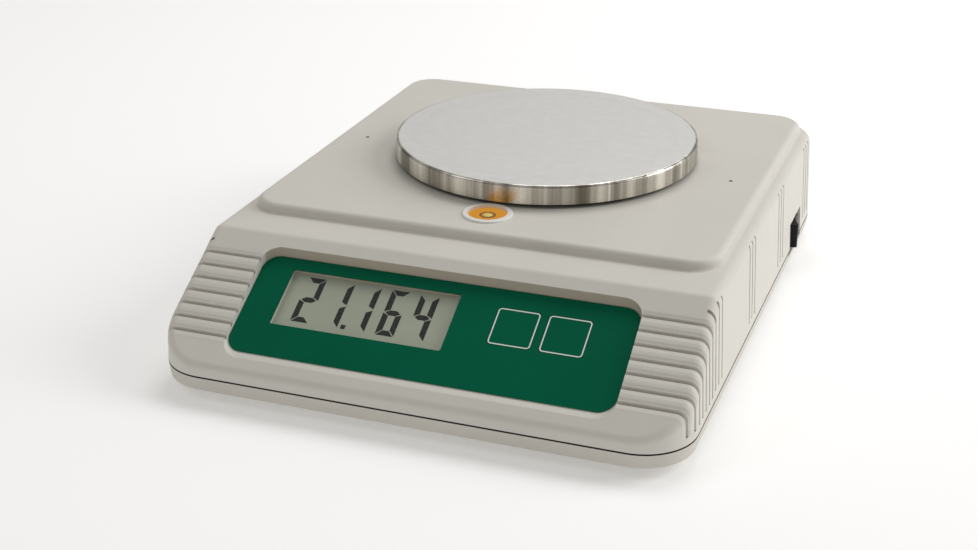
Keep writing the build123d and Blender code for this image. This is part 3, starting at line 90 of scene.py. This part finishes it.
# a material in the making
class Mat:
    def __init__(self, name):
        self.material = bpy.data.materials.new(name)
        self.material.use_nodes = True
        self.tree = self.material.node_tree
        self.tree.nodes.clear()
        self.coords = self.node("ShaderNodeTexCoord")["Object"]

    def node(self, kind, settings=None, inputs=None):
        made = self.tree.nodes.new(kind)
        for key, value in (settings or {}).items():
            setattr(made, key, value)
        for key, value in (inputs or {}).items():
            if isinstance(value, Wire):
                self.tree.links.new(value.socket, made.inputs[key])
            else:
                made.inputs[key].default_value = value
        return Placed(self, made)

    def noise(self, scale, detail=3.0, rough=0.5, vector=None):
        return self.node("ShaderNodeTexNoise", None, {
            "Vector": vector or self.coords, "Scale": scale, "Detail": detail, "Roughness": rough,
        })["Fac"]

    def spread(self, value, low, high):
        # value 0..1 spread between low and high
        return self.node("ShaderNodeMapRange", None, {
            "Value": value, "To Min": low, "To Max": high,
        })["Result"]

    def step(self, value, start, end):
        # 0 at start, 1 at end, smooth between them
        return self.node("ShaderNodeMapRange", {"interpolation_type": "SMOOTHSTEP"}, {
            "Value": value, "From Min": start, "From Max": end,
        })["Result"]

    def line(self, value, halfWidth, solid=0.85):
        # 1 round zero, soft over the outer part of halfWidth, 0 beyond it
        return self.step(abs(value), halfWidth, halfWidth * solid)

    def axes(self):
        split = self.node("ShaderNodeSeparateXYZ", None, {"Vector": self.coords})
        return split["X"], split["Y"], split["Z"]

    def combine(self, **parts):
        return self.node("ShaderNodeCombineXYZ", None, parts)["Vector"]

    def length(self, vector):
        return self.node("ShaderNodeVectorMath", {"operation": "LENGTH"}, {0: vector})["Value"]

    def mix(self, factor, one, other):
        return self.node("ShaderNodeMix", {"data_type": "RGBA"}, {
            "Factor": factor, 6: one, 7: other,
        })[2]

    def blotched(self, noise, colour, dark, light, start=0.3, end=0.7):
        return self.mix(self.step(noise, start, end), tinted(colour, dark), tinted(colour, light))

    def bump(self, height, strength, distance, normal=None):
        inputs = {"Height": height, "Strength": strength, "Distance": distance}
        if normal:
            inputs["Normal"] = normal
        return self.node("ShaderNodeBump", None, inputs)["Normal"]

    def surface(self, **inputs):
        values = {key.replace("_", " "): value for key, value in inputs.items()}
        shader = self.node("ShaderNodeBsdfPrincipled", None, values)["BSDF"]
        self.node("ShaderNodeOutputMaterial", None, {"Surface": shader})
        return self.material


# screen values 0..255 to linear light
def rgb(red, green, blue, alpha=1.0):
    def linear(value):
        share = value / 255
        return share / 12.92 if share <= 0.04045 else ((share + 0.055) / 1.055) ** 2.4

    return (linear(red), linear(green), linear(blue), alpha)


def tinted(colour, factor):
    return tuple(channel * factor for channel in colour[:3]) + (1.0,)


# how far value lies past the nearest of many places that are a pitch apart
def nearest(value, pitch):
    return (value + pitch / 2) % pitch - pitch / 2


def between(value, low, high):
    return (value > low) * (value < high)


# what all moulded plastic has: soft blotches of tone, specks and a fine spark grain
# (three numbers for a noise are its scale, detail and roughness, here and below)
plasticLook = {
    "blotch": (28.0, 4.0, 0.55),
    "grain": (2600.0, 2.0, 0.6),
    "speck": (420.0, 2.0, 0.5),
    "speckRange": (0.62, 0.75),
    "speckShare": 0.25,
    "grainShare": 0.6,
    "smoother": 0.06,
    "rougher": 0.08,
    "grainDepth": 0.04 * mm,
}


def plasticSkin(m, colour, roughness, grain, tone, speckShare, speckTone):
    look = plasticLook
    blotch, fine, speck = (m.noise(*look[noise]) for noise in ("blotch", "grain", "speck"))
    shade = m.blotched(blotch, colour, 1 - tone, 1 + tone)
    specks = m.step(speck, *look["speckRange"]) * speckShare
    shade = m.mix(specks, shade, tinted(colour, speckTone))
    uneven = fine * look["grainShare"] + blotch * (1 - look["grainShare"])
    rough = m.spread(uneven, roughness - look["smoother"], roughness + look["rougher"])
    return shade, rough, m.bump(fine, grain, look["grainDepth"])


def mouldedPlastic(name, colour, roughness=0.5, grain=0.5, tone=0.04, gloss=0.45):
    m = Mat(name)
    shade, rough, skin = plasticSkin(
        m, colour, roughness, grain, tone, plasticLook["speckShare"], speckTone=1 - 3 * tone
    )
    return m.surface(Base_Color=shade, Roughness=rough, Normal=skin, Specular_IOR_Level=gloss)


# the two halves of the case, with places measured in the frame of the part
caseLook = {
    "top": {"colour": rgb(219, 216, 208), "roughness": 0.5},
    "tray": {"colour": rgb(212, 208, 199), "roughness": 0.54},
    "skin": {"grain": 0.5, "tone": 0.015, "speckShare": 0.2, "speckTone": 0.92},
    "gloss": 0.4,
    "groove": {
        "first": -119.97 * mm, "last": -88.89 * mm, "pitch": 5.18 * mm,
        "halfWidth": 0.64 * mm, "inner": 77.3 * mm, "low": 13.4 * mm,
    },
    "crown": {"reach": 0.42, "strength": 0.6, "height": 0.6 * mm},  # of the ribs between grooves
    "louvre": {
        "middle": 42.5 * mm, "groupPitch": 60.5 * mm, "pitch": 5.3 * mm, "count": 3,
        "halfWidth": 0.64 * mm, "inner": 100.0 * mm, "reach": 115.0 * mm,
        "low": 14.1 * mm, "high": 47.5 * mm,
    },
    "recess": {
        "y": -128.93 * mm, "z": 17.17 * mm, "lean": math.tan(math.radians(32.47)),
        "sunk": 0.15 * mm, "halfWidth": 77.6 * mm, "wallFrom": -86.5 * mm, "wallTo": -82.0 * mm,
    },
    "seam": {"z": 10.1 * mm, "halfWidth": 0.36 * mm},
    "dot": {
        "x": 83.5 * mm, "y": 29.5 * mm, "reach": 2.2 * mm,
        "above": 52.5 * mm, "below": 53.46 * mm,
    },
    # painted shade for the insides of the grip grooves and louvre slots
    "grooveShade": rgb(128, 118, 101),
    # painted shade for the upper wall of the recess
    "wallShade": rgb(190, 180, 163),
    # painted shade for the seam gap and the dots beside the pan
    "seamShade": rgb(52, 44, 36),
}


# moulded plastic, with painted shade in its grooves and louvre slots, on the recess wall, along the
# seam and in the dots beside the pan
def housingPlastic(name, half, look):
    m = Mat(name)
    x, y, z = m.axes()
    aside = abs(x)
    shade, rough, skin = plasticSkin(m, half["colour"], half["roughness"], **look["skin"])
    groove, louvre, recess, seam, dot = (
        look[mark] for mark in ("groove", "louvre", "recess", "seam", "dot")
    )
    row = nearest(y - groove["first"], groove["pitch"])
    inRows = (y > groove["first"] - groove["pitch"] / 2) * (y < groove["last"] + groove["pitch"] / 2)
    inRows = inRows * (aside > groove["inner"]) * (z > groove["low"])
    group = nearest(y - louvre["middle"], louvre["groupPitch"])
    slat = nearest(group, louvre["pitch"])
    inGroup = (abs(group) < louvre["pitch"] * louvre["count"] / 2) * (aside > louvre["inner"])
    inGroup = inGroup * (abs(y) < louvre["reach"]) * between(z, louvre["low"], louvre["high"])
    # painted shade inside the grip grooves and louvre slots, where their depth lies in shadow
    shadedCuts = m.line(row, groove["halfWidth"]) * inRows + m.line(slat, louvre["halfWidth"]) * inGroup
    shade = m.mix(shadedCuts, shade, look["grooveShade"])
    # the wall of the recess lies below the slope, measured upright
    below = (y - recess["y"]) * recess["lean"] - (z - recess["z"])
    # painted shade on the upper wall of the recess, which faces forward and down into shadow
    shadedWall = (below > recess["sunk"]) * (aside < recess["halfWidth"])
    shadedWall = shadedWall * between(y, recess["wallFrom"], recess["wallTo"])
    shade = m.mix(shadedWall, shade, look["wallShade"])
    # painted shade in the seam between the two halves and in the small dots beside the pan
    shade = m.mix(m.line(z - seam["z"], seam["halfWidth"]), shade, look["seamShade"])
    shadedDots = m.line(aside - dot["x"], dot["reach"]) * m.line(y - dot["y"], dot["reach"])
    shade = m.mix(shadedDots * between(z, dot["above"], dot["below"]), shade, look["seamShade"])
    crown = look["crown"]
    rise = m.step(abs(row), groove["halfWidth"], groove["pitch"] * crown["reach"]) * inRows
    return m.surface(
        Base_Color=shade,
        Roughness=rough,
        Normal=m.bump(rise, crown["strength"], crown["height"], skin),
        Specular_IOR_Level=look["gloss"],
    )


metalLook = {
    "streak": (900.0, 3.0, 0.6),
    "stain": (60.0, 3.0, 0.5),
    "stainTone": 0.86,
    "stainRange": (0.35, 0.7),
    "smoother": 0.08,
    "rougher": 0.12,
    "strength": 0.25,
    "depth": 0.03 * mm,
}


# plated or milled metal; stretch draws its streaks out along an axis
def plainMetal(name, colour, roughness, metallic=1.0, stretch=None):
    m = Mat(name)
    look = metalLook
    vector = None
    if stretch:
        mapping = m.node("ShaderNodeMapping", None, {"Vector": m.coords, "Scale": stretch})
        vector = mapping["Vector"]
    streak = m.noise(*look["streak"], vector=vector)
    stain = m.noise(*look["stain"])
    return m.surface(
        Base_Color=m.blotched(stain, colour, 1.0, look["stainTone"], *look["stainRange"]),
        Metallic=metallic,
        Roughness=m.spread(streak, roughness - look["smoother"], roughness + look["rougher"]),
        Normal=m.bump(streak, look["strength"], look["depth"]),
    )


panLook = {
    "colour": rgb(232, 231, 229),
    "dark": 0.975,
    "light": 1.02,
    "cloud": (240.0, 4.0, 0.6),
    "cloudRange": (0.3, 0.75),
    "grain": (1900.0, 3.0, 0.7),
    "grainShare": 0.5,
    "topMetal": 0.55,
    "topRough": (0.42, 0.56),
    "ring": {"share": 0.85, "halfWidth": 3.5 * mm, "tone": 0.8, "strength": 0.08},
    "sheet": 0.9 * mm,
    # painted shade for the faces under the pan
    "inside": rgb(70, 68, 64),
    "insideTop": 0.6,  # of the sheet, below the top
    "rimWidth": 1.6 * mm,
    "rimSolid": 0.4,  # of its width
    # painted reflection: the dark and light bands of the rim
    "rimDark": rgb(120, 114, 102),
    "rimLight": rgb(240, 236, 226),
    "rimRough": (0.2, 0.34),
    "turnScale": 0.02,  # metres of noise for a radian round the rim
    "reachScale": 0.4,
    "brush": (5200.0, 3.0, 0.5),
    "bands": (260.0, 3.0, 0.6),
    "bandRange": (0.35, 0.65),
    "weld": {"angle": -0.86, "soft": 0.011, "solid": 0.004, "strength": 0.8},
    "weldShade": rgb(252, 250, 244),
    "strength": 0.3,
    "depth": 0.04 * mm,
}


# the pan: satin top with a fine random grain, rim brushed round with painted reflection bands, one
# weld line, painted shade on the faces under it
def panSteel(name, pan):
    m = Mat(name)
    low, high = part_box("weighing_pan")
    centre = ((low.x + high.x) / 2, (low.y + high.y) / 2)
    radius = (high.x - low.x) / 2
    x, y, z = m.axes()
    x = x - centre[0]
    y = y - centre[1]
    angle = x.maths("ARCTAN2", y, x)
    reach = m.length(m.combine(X=x, Y=y))
    rimStart = radius - pan["rimWidth"]
    onRim = m.step(reach, rimStart, radius - pan["rimWidth"] * pan["rimSolid"])
    cloud = m.noise(*pan["cloud"])
    grain = m.noise(*pan["grain"])
    # painted shade on the faces under the pan, inside its rim, where the pan shadows them
    inside = (reach < radius - pan["sheet"]) * (z < high.z - pan["sheet"] * pan["insideTop"])
    along = angle * pan["turnScale"]
    brushed = m.noise(*pan["brush"], vector=m.combine(X=along, Y=z, Z=reach * pan["reachScale"]))
    # painted reflection: bands round the rim stand in for the studio mirrored in the brushed metal
    bands = m.noise(*pan["bands"], vector=m.combine(X=along))
    ring, weld = pan["ring"], pan["weld"]
    onRing = m.step(abs(reach - radius * ring["share"]), ring["halfWidth"], 0.0)
    onWeld = m.step(abs(angle - weld["angle"]), weld["soft"], weld["solid"])
    top = m.blotched(cloud, pan["colour"], pan["dark"], pan["light"], *pan["cloudRange"])
    top = m.mix(onRing * ring["strength"], top, tinted(pan["colour"], ring["tone"]))
    rim = m.mix(m.step(bands, *pan["bandRange"]), pan["rimDark"], pan["rimLight"])
    rim = m.mix(onWeld * weld["strength"], rim, pan["weldShade"])
    uneven = cloud * (1 - pan["grainShare"]) + grain * pan["grainShare"]
    topRough = m.spread(uneven, *pan["topRough"])
    rimRough = m.spread(brushed, *pan["rimRough"])
    return m.surface(
        Base_Color=m.mix(inside, m.mix(onRim, top, rim), pan["inside"]),
        Metallic=m.spread(onRim, pan["topMetal"], 1.0),
        Roughness=topRough * (1 - onRim) + rimRough * onRim,
        Normal=m.bump(grain * (1 - onRim) + brushed * onRim, pan["strength"], pan["depth"]),
    )


filmLook = {
    "colour": rgb(0, 98, 70),
    "tone": (24.0, 3.0, 0.5),
    "dark": 0.94,
    "light": 1.05,
    "tooth": (2400.0, 2.0, 0.6),
    "ripple": (45.0, 2.0, 0.4),
    "toothShare": 0.3,
    "roughness": (0.34, 0.44),
    "strength": 0.1,
    "depth": 0.1 * mm,
    "gloss": 0.05,
}


# printed film: solid colour behind a slightly wavy clear surface
def printedFilm(name, look):
    m = Mat(name)
    tooth = m.noise(*look["tooth"])
    wave = tooth * look["toothShare"] + m.noise(*look["ripple"])
    return m.surface(
        Base_Color=m.blotched(m.noise(*look["tone"]), look["colour"], look["dark"], look["light"]),
        Roughness=m.spread(tooth, *look["roughness"]),
        Normal=m.bump(wave, look["strength"], look["depth"]),
        Specular_IOR_Level=look["gloss"],
    )


glassLook = {
    "colour": rgb(176, 183, 163),
    "tone": (35.0, 3.0, 0.5),
    "dark": 0.96,
    "light": 1.05,
    "fine": (3000.0, 1.0, 0.5),
    "roughness": (0.24, 0.34),
    "strength": 0.05,
    "depth": 0.02 * mm,
}


# the display glass: grey-green with an even, slightly matt face
def liquidCrystal(name, look):
    m = Mat(name)
    fine = m.noise(*look["fine"])
    return m.surface(
        Base_Color=m.blotched(m.noise(*look["tone"]), look["colour"], look["dark"], look["light"]),
        Roughness=m.spread(fine, *look["roughness"]),
        Normal=m.bump(fine, look["strength"], look["depth"]),
    )


clearLook = {"smear": (50.0, 3.0, 0.5), "dark": 0.95, "rougher": 0.06, "gloss": 0.2}


def clearPlastic(name, colour, alpha, roughness=0.06):
    m = Mat(name)
    smear = m.noise(*clearLook["smear"])
    return m.surface(
        Base_Color=m.mix(smear, tinted(colour, clearLook["dark"]), colour),
        Roughness=m.spread(smear, roughness, roughness + clearLook["rougher"]),
        Alpha=alpha,
        Specular_IOR_Level=clearLook["gloss"],
    )


boardLook = {
    "colour": rgb(16, 92, 52),
    "tracks": {"Scale": 160.0, "Mortar Size": 0.06},
    "offset": 0.5,
    "dark": 0.85,
    "track": 1.9,
    "glaze": (300.0, 2.0, 0.5),
    "roughness": (0.28, 0.4),
    "strength": 0.15,
    "depth": 0.05 * mm,
}


# lacquered board with a plain pattern of lighter tracks
def circuitBoard(name, look):
    m = Mat(name)
    colour = look["colour"]
    tracks = m.node("ShaderNodeTexBrick", {"offset": look["offset"]}, {
        "Vector": m.coords, "Color1": colour, "Color2": tinted(colour, look["dark"]),
        "Mortar": tinted(colour, look["track"]), **look["tracks"],
    })["Color"]
    glaze = m.noise(*look["glaze"])
    return m.surface(
        Base_Color=tracks,
        Roughness=m.spread(glaze, *look["roughness"]),
        Normal=m.bump(glaze, look["strength"], look["depth"]),
    )


rubberLook = {
    "dust": (220.0, 4.0, 0.6),
    "dustRange": (0.45, 0.8),
    "dustShare": 0.5,
    "dustTone": 2.2,
    "fine": (1800.0, 2.0, 0.6),
    "roughness": (0.72, 0.9),
    "strength": 0.3,
    "depth": 0.06 * mm,
}


def rubber(name, colour):
    m = Mat(name)
    look = rubberLook
    dust = m.step(m.noise(*look["dust"]), *look["dustRange"]) * look["dustShare"]
    fine = m.noise(*look["fine"])
    return m.surface(
        Base_Color=m.mix(dust, colour, tinted(colour, look["dustTone"])),
        Roughness=m.spread(fine, *look["roughness"]),
        Normal=m.bump(fine, look["strength"], look["depth"]),
    )


spiritLook = {
    "middle": rgb(252, 218, 92),
    "edge": rgb(232, 178, 46),
    "range": (0.35, 1.02),  # of the radius
    "swirl": (180.0, 3.0, 0.6),
    "swirlReach": 2.0 * mm,
    "roughness": (0.12, 0.22),
    # painted light: a glow standing in for light shining through the spirit
    "glow": 0.3,
}


# amber spirit, deeper in colour towards the wall of its cup, with a painted glow that stands in for
# light shining through it
def amberSpirit(name, look):
    m = Mat(name)
    low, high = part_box("level_liquid")
    centre = ((low.x + high.x) / 2, (low.y + high.y) / 2, high.z)
    offset = m.node("ShaderNodeVectorMath", {"operation": "SUBTRACT"}, {0: m.coords, 1: centre})
    radius = (high.x - low.x) / 2
    swirl = m.noise(*look["swirl"])
    reach = m.length(offset["Vector"]) + swirl * look["swirlReach"]
    ends = [radius * share for share in look["range"]]
    deep = m.mix(m.step(reach, *ends), look["middle"], look["edge"])
    return m.surface(
        Base_Color=deep, Roughness=m.spread(swirl, *look["roughness"]),
        Emission_Color=deep, Emission_Strength=look["glow"],
    )


finishes = {
    "case": housingPlastic("casePlastic", caseLook["top"], caseLook),
    "tray": housingPlastic("trayPlastic", caseLook["tray"], caseLook),
    "pan": panSteel("panSteel", panLook),
    "film": printedFilm("greenFilm", filmLook),
    "lens": clearPlastic("clearLens", rgb(235, 240, 236), alpha=0.03),
    "lcd": liquidCrystal("lcdGlass", glassLook),
    "black": mouldedPlastic("blackPlastic", rgb(14, 15, 20), roughness=0.34, grain=0.25, tone=0.1),
    "rocker": mouldedPlastic(
        "rockerPlastic", rgb(12, 14, 22), roughness=0.4, grain=0.15, tone=0.1, gloss=0.2
    ),
    "cream": mouldedPlastic("creamPlastic", rgb(232, 226, 206), roughness=0.45),
    "filled": mouldedPlastic("filledPlastic", rgb(40, 40, 42), roughness=0.6, grain=0.8),
    "ribbon": mouldedPlastic("ribbonGrey", rgb(160, 160, 165)),
    "lead": mouldedPlastic("leadInsulation", rgb(30, 30, 33), roughness=0.4),
    "steel": plainMetal("platedSteel", rgb(196, 196, 192), 0.32),
    "aluminium": plainMetal("milledAluminium", rgb(214, 215, 217), 0.34, stretch=(1, 0.08, 1)),
    "brass": plainMetal("bareBrass", rgb(205, 172, 98), 0.3),
    "wrap": plainMetal("batteryWrap", rgb(120, 122, 128), 0.36, metallic=0.6),
    "board": circuitBoard("boardLacquer", boardLook),
    "footPlastic": mouldedPlastic("footPlastic", rgb(34, 34, 35), roughness=0.48),
    "rubber": rubber("footRubber", rgb(28, 28, 28)),
    "padRubber": rubber("padRubber", rgb(70, 70, 70)),
    "white": mouldedPlastic(
        "levelWhite", rgb(240, 240, 236), roughness=0.3, grain=0.15, tone=0.015
    ),
    "amber": amberSpirit("amberSpirit", spiritLook),
    "clear": clearPlastic("levelClear", rgb(245, 246, 244), alpha=0.04),
    "ink": mouldedPlastic("displayInk", rgb(8, 7, 9), grain=0.1, tone=0.05, gloss=0.05),
    "ringMark": mouldedPlastic("levelMark", rgb(70, 34, 8), grain=0.1, tone=0.05),
    "bubble": clearPlastic("levelBubble", rgb(255, 226, 130), alpha=0.8, roughness=0.1),
    "print": mouldedPlastic("whitePrint", rgb(236, 240, 236), roughness=0.4, grain=0.1, tone=0.01),
}


def footPieces(ending):
    return [name for name in nodes if name.startswith("foot_") and name.endswith(ending)]


dressing = {
    "case": ["upper_housing"],
    "tray": ["base_cover", "battery_door"],
    "pan": ["weighing_pan"],
    "film": ["front_overlay", "key_left_pad", "key_right_pad"],
    "lens": ["display_lens"],
    "lcd": ["lcd_panel"],
    "black": ["lcd_frame", "key_switches", "switch_body", "dc_inlet", "board_chips", "battery_snap"],
    "rocker": ["rocker"],
    "cream": ["board_connectors", "key_left_plunger", "key_right_plunger"],
    "filled": ["pan_support"],
    "ribbon": ["ribbon_cable"],
    "lead": ["internal_leads"],
    "steel": [
        "display_board_screws", "housing_screws", "load_cell_screws", "carrier_screws",
        "post_screws", "main_board_screws", "overload_stop", "stop_nut", "inlet_nut", "inlet_pin",
        *footPieces("_stud"),
    ],
    "aluminium": [
        "load_cell", "load_cell_spacer", "carrier_spacer", "carrier_arm", "carrier_post",
        "capacitors",
    ],
    "brass": ["switch_terminals", "foot_inserts"],
    "wrap": ["battery"],
    "board": ["display_board", "main_board"],
    "white": ["level_holder"],
    "amber": ["level_liquid"],
    "clear": ["level_window"],
    "padRubber": ["pan_pads", "lcd_strips"],
    "footPlastic": footPieces("_knob"),
    "rubber": footPieces("_pad"),
}
for finishName, members in dressing.items():
    for member in members:
        nodes[member].data.materials.clear()
        nodes[member].data.materials.append(finishes[finishName])
dressed = {member for members in dressing.values() for member in members}
print("finishes:", len(finishes), "nodes left plain:", sorted(set(nodes) - dressed))

outOfPanel = Vector((0, -0.5, 0.87))  # roughly square to the sunk panel


# a plane read from the frame: the outermost flat of a node towards a direction
def flatOf(node, towards, facing=0.9):
    mesh = nodes[node].data
    best = max(
        (poly for poly in mesh.polygons if poly.normal.dot(towards) > facing),
        key=lambda poly: poly.area,
    )
    normal = best.normal.copy()
    xAxis = Vector((1, 0, 0))
    vAxis = normal.cross(xAxis).normalized()
    corners = [v.co for v in mesh.vertices]
    level = max(c.dot(normal) for c in corners)
    middle = Vector([(min(c[i] for c in corners) + max(c[i] for c in corners)) / 2 for i in range(3)])
    origin = middle + normal * (level - middle.dot(normal))
    return Matrix((
        (xAxis.x, vAxis.x, normal.x, origin.x),
        (xAxis.y, vAxis.y, normal.y, origin.y),
        (xAxis.z, vAxis.z, normal.z, origin.z),
        (0, 0, 0, 1),
    ))


# a mesh drawn flat, put in its place, and made a piece that rides on a body
def addPiece(name, bm, place, body, finish, smooth=None):
    bmesh.ops.recalc_face_normals(bm, faces=bm.faces)
    bm.transform(place)
    mesh = bpy.data.meshes.new(name)
    bm.to_mesh(mesh)
    bm.free()
    piece = bpy.data.objects.new(name, mesh)
    bpy.context.scene.collection.objects.link(piece)
    mesh.materials.append(finishes[finish])
    if smooth is not None:
        for poly in mesh.polygons:
            poly.use_smooth = True
        mesh.set_sharp_from_angle(angle=math.radians(smooth))
    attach(piece, body)


# the figures on the display, seven bars to a cell, just above the glass
digitLook = {
    "height": 21.3 * mm,
    "width": 7.6 * mm,
    "bar": 2.35 * mm,
    "gap": 0.32 * mm,
    "tip": 0.9,  # of the gap, from the middle to the upright bars
    "point": 2.2,  # of the gap, from the side to the middle bar
    "dot": 0.8,  # of a bar
    "low": -4.3 * mm,
    "lift": 0.05 * mm,
    "thickness": 0.04 * mm,
    "reading": (("2", -57.0), ("1", -44.9), (".", -36.0), ("1", -33.7), ("6", -21.7), ("4", -9.7)),
}
barsOf = {"2": "abged", "1": "bc", "6": "afgedc", "4": "fgbc"}
mirrorOf = {"b": "f", "c": "e"}


def barOutline(bar, look):
    w, h, t, g = look["width"], look["height"], look["bar"], look["gap"]
    half, tip, point = h / 2, g * look["tip"], g * look["point"]
    if bar in mirrorOf:
        return [(w - x, y) for x, y in reversed(barOutline(mirrorOf[bar], look))]
    return {
        "a": [(g, h), (w - g, h), (w - t - g / 2, h - t), (t + g / 2, h - t)],
        "d": [(g, 0), (t + g / 2, t), (w - t - g / 2, t), (w - g, 0)],
        "e": [(0, g), (0, half - tip), (t, half - t / 2 - g), (t, t + g)],
        "f": [(0, h - g), (t, h - t - g), (t, half + t / 2 + g), (0, half + tip)],
        "g": [
            (point, half), (t, half + t / 2), (w - t, half + t / 2),
            (w - point, half), (w - t, half - t / 2), (t, half - t / 2),
        ],
    }[bar]


def displayDigits(look):
    place = flatOf("front_overlay", outOfPanel)
    normal = place.col[2].to_3d()
    glass = flatOf("lcd_panel", normal)
    drop = (glass.translation - place.translation).dot(normal)
    place.translation = place.translation + normal * (drop + look["lift"])
    bm = bmesh.new()
    for figure, left in look["reading"]:
        outlines = [barOutline(bar, look) for bar in barsOf.get(figure, "")]
        if figure == ".":
            side = look["bar"] * look["dot"]
            outlines = [[(0, 0), (0, side), (side, side), (side, 0)]]
        for outline in outlines:
            corners = [(left * mm + x, look["low"] + y) for x, y in outline]
            base = [bm.verts.new((x, y, -look["thickness"])) for x, y in corners]
            top = [bm.verts.new((x, y, 0)) for x, y in corners]
            bm.faces.new(top)
            bm.faces.new(list(reversed(base)))
            for i in range(len(corners)):
                j = (i + 1) % len(corners)
                bm.faces.new((base[i], base[j], top[j], top[i]))
    addPiece("display_digits", bm, place, "base", "ink")


displayDigits(digitLook)
print("display digits made")

mergeReach = 0.001 * mm


# a rounded square, or a circle when the corner is half its size
def ringOutline(size, corner, steps=8):
    half = size / 2 - corner
    points = []
    for quarter, (sx, sy) in enumerate(((1, 1), (-1, 1), (-1, -1), (1, -1))):
        for step in range(steps + 1):
            turn = math.radians(90 * (quarter + step / steps))
            points.append((sx * half + corner * math.cos(turn), sy * half + corner * math.sin(turn)))
    return points


# a flat ring of even width between two such outlines
def flatRing(name, place, size, corner, width, thickness, body, finish, slot):
    outer = ringOutline(size, corner)
    inner = ringOutline(size - 2 * width, corner - width)
    bm = bmesh.new()
    loops = [
        [bm.verts.new((x, y, level)) for x, y in outline]
        for outline, level in ((outer, 0), (outer, thickness), (inner, thickness), (inner, 0))
    ]
    for loop, following in zip(loops, loops[1:] + loops[:1]):
        for i in range(len(loop)):
            j = (i + 1) % len(loop)
            bm.faces.new((loop[i], loop[j], following[j], following[i]))
    bmesh.ops.remove_doubles(bm, verts=bm.verts, dist=mergeReach)
    addPiece(name, bm, place, body, finish)


# the white line printed round each key
keyLook = {"size": 16.5 * mm, "corner": 1.5 * mm, "width": 0.5 * mm, "thickness": 0.04 * mm}
for side in ("left", "right"):
    key = f"key_{side}"
    padTop = flatOf(f"{key}_pad", outOfPanel)
    flatRing(f"{key}_outline", padTop, body=key, finish="print", slot="overlay_film", **keyLook)
print("key outlines made")

# the ring mark and the bubble of the level, on the spirit under its window, with a dark ring painted
# round the bubble as the shade at its edge
bubbleLook = {
    "ring": 6.6 * mm,
    "line": 0.55 * mm,
    "bubble": 4.2 * mm,
    "edge": 0.25 * mm,
    "rise": 0.5 * mm,
    "lift": 0.06 * mm,
    "segments": 32,
    "rings": 12,
    "smooth": 40,
}


def levelBubble(look):
    low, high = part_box("level_liquid")
    top = Matrix.Translation(((low.x + high.x) / 2, (low.y + high.y) / 2, high.z + look["lift"]))
    for name, size, width in (
        ("level_ring_mark", look["ring"], look["line"]),
        # painted shade: a dark ring round the bubble stands in for the shade at its edge
        ("level_bubble_shaded_rim", look["bubble"] + 2 * look["edge"], look["line"] / 2),
    ):
        flatRing(name, top, size, size / 2, width, look["lift"], "base", "ringMark", "black_plastic")
    bm = bmesh.new()
    bmesh.ops.create_uvsphere(
        bm, u_segments=look["segments"], v_segments=look["rings"], radius=look["bubble"] / 2
    )
    for vert in bm.verts:
        vert.co.z = max(vert.co.z, 0) * 2 * look["rise"] / look["bubble"]
    bmesh.ops.remove_doubles(bm, verts=bm.verts, dist=mergeReach)
    addPiece("level_bubble", bm, top, "base", "bubble", smooth=look["smooth"])


levelBubble(bubbleLook)
print("level bubble made")

# floor, world and lights, in metres and watts
stageLook = {
    "floor": {
        "size": 6.0, "colour": rgb(250, 250, 250), "tone": 0.985, "noise": (6.0, 3.0, 0.5),
        "roughness": 0.9, "glow": 0.22,
    },
    "world": 0.33,
    "tint": (1.0, 0.975, 0.935, 1.0),
    "aim": Vector((0, 0, 0.03)),
    "lights": {
        "key": {"place": (1.12, 0.6, 0.78), "size": 1.0, "power": 10.0},
        "left": {"place": (-0.9, -0.5, 1.2), "size": 0.8, "power": 1.5},
        "back": {"place": (0.0, 0.8, 1.45), "size": 0.9, "power": 7.0},
    },
}


def makeStage(look):
    paper = look["floor"]
    bpy.ops.mesh.primitive_plane_add(size=paper["size"])
    floor = bpy.context.object
    floor.name = "studio_floor"
    m = Mat("floorPaper")
    shade = m.mix(m.noise(*paper["noise"]), paper["colour"], tinted(paper["colour"], paper["tone"]))
    floor.data.materials.append(m.surface(
        Base_Color=shade, Roughness=paper["roughness"],
        Emission_Color=paper["colour"], Emission_Strength=paper["glow"],
    ))
    world = bpy.data.worlds.new("studioWorld")
    bpy.context.scene.world = world
    world.use_nodes = True
    background = world.node_tree.nodes["Background"]
    background.inputs["Color"].default_value = look["tint"]
    background.inputs["Strength"].default_value = look["world"]
    for name, lightLook in look["lights"].items():
        light = bpy.data.lights.new(name + "Light", "AREA")
        light.shape = "DISK"
        light.size = lightLook["size"]
        light.energy = lightLook["power"]
        lamp = bpy.data.objects.new(name + "Light", light)
        bpy.context.scene.collection.objects.link(lamp)
        lamp.location = lightLook["place"]
        lamp.rotation_euler = (look["aim"] - lamp.location).to_track_quat("-Z", "Y").to_euler()


# place in metres, then degrees: up from straight down, roll, and round to the left
cameraLook = {
    "place": (206.28 * mm, -605.33 * mm, 293.53 * mm),
    "turn": (66.078, 0.06, 19.985),
    "lens": 59.49,
    "sensor": 36.0,
}


def makeCamera(look):
    camera = bpy.data.cameras.new("photoCamera")
    camera.lens = look["lens"]
    camera.sensor_width = look["sensor"]
    camera.sensor_fit = "HORIZONTAL"
    holder = bpy.data.objects.new("photoCamera", camera)
    bpy.context.scene.collection.objects.link(holder)
    holder.location = look["place"]
    holder.rotation_euler = Euler([math.radians(turn) for turn in look["turn"]], "XYZ")
    bpy.context.scene.camera = holder


makeStage(stageLook)
makeCamera(cameraLook)
bpy.context.scene.view_settings.view_transform = "Standard"
print("stage and camera made")
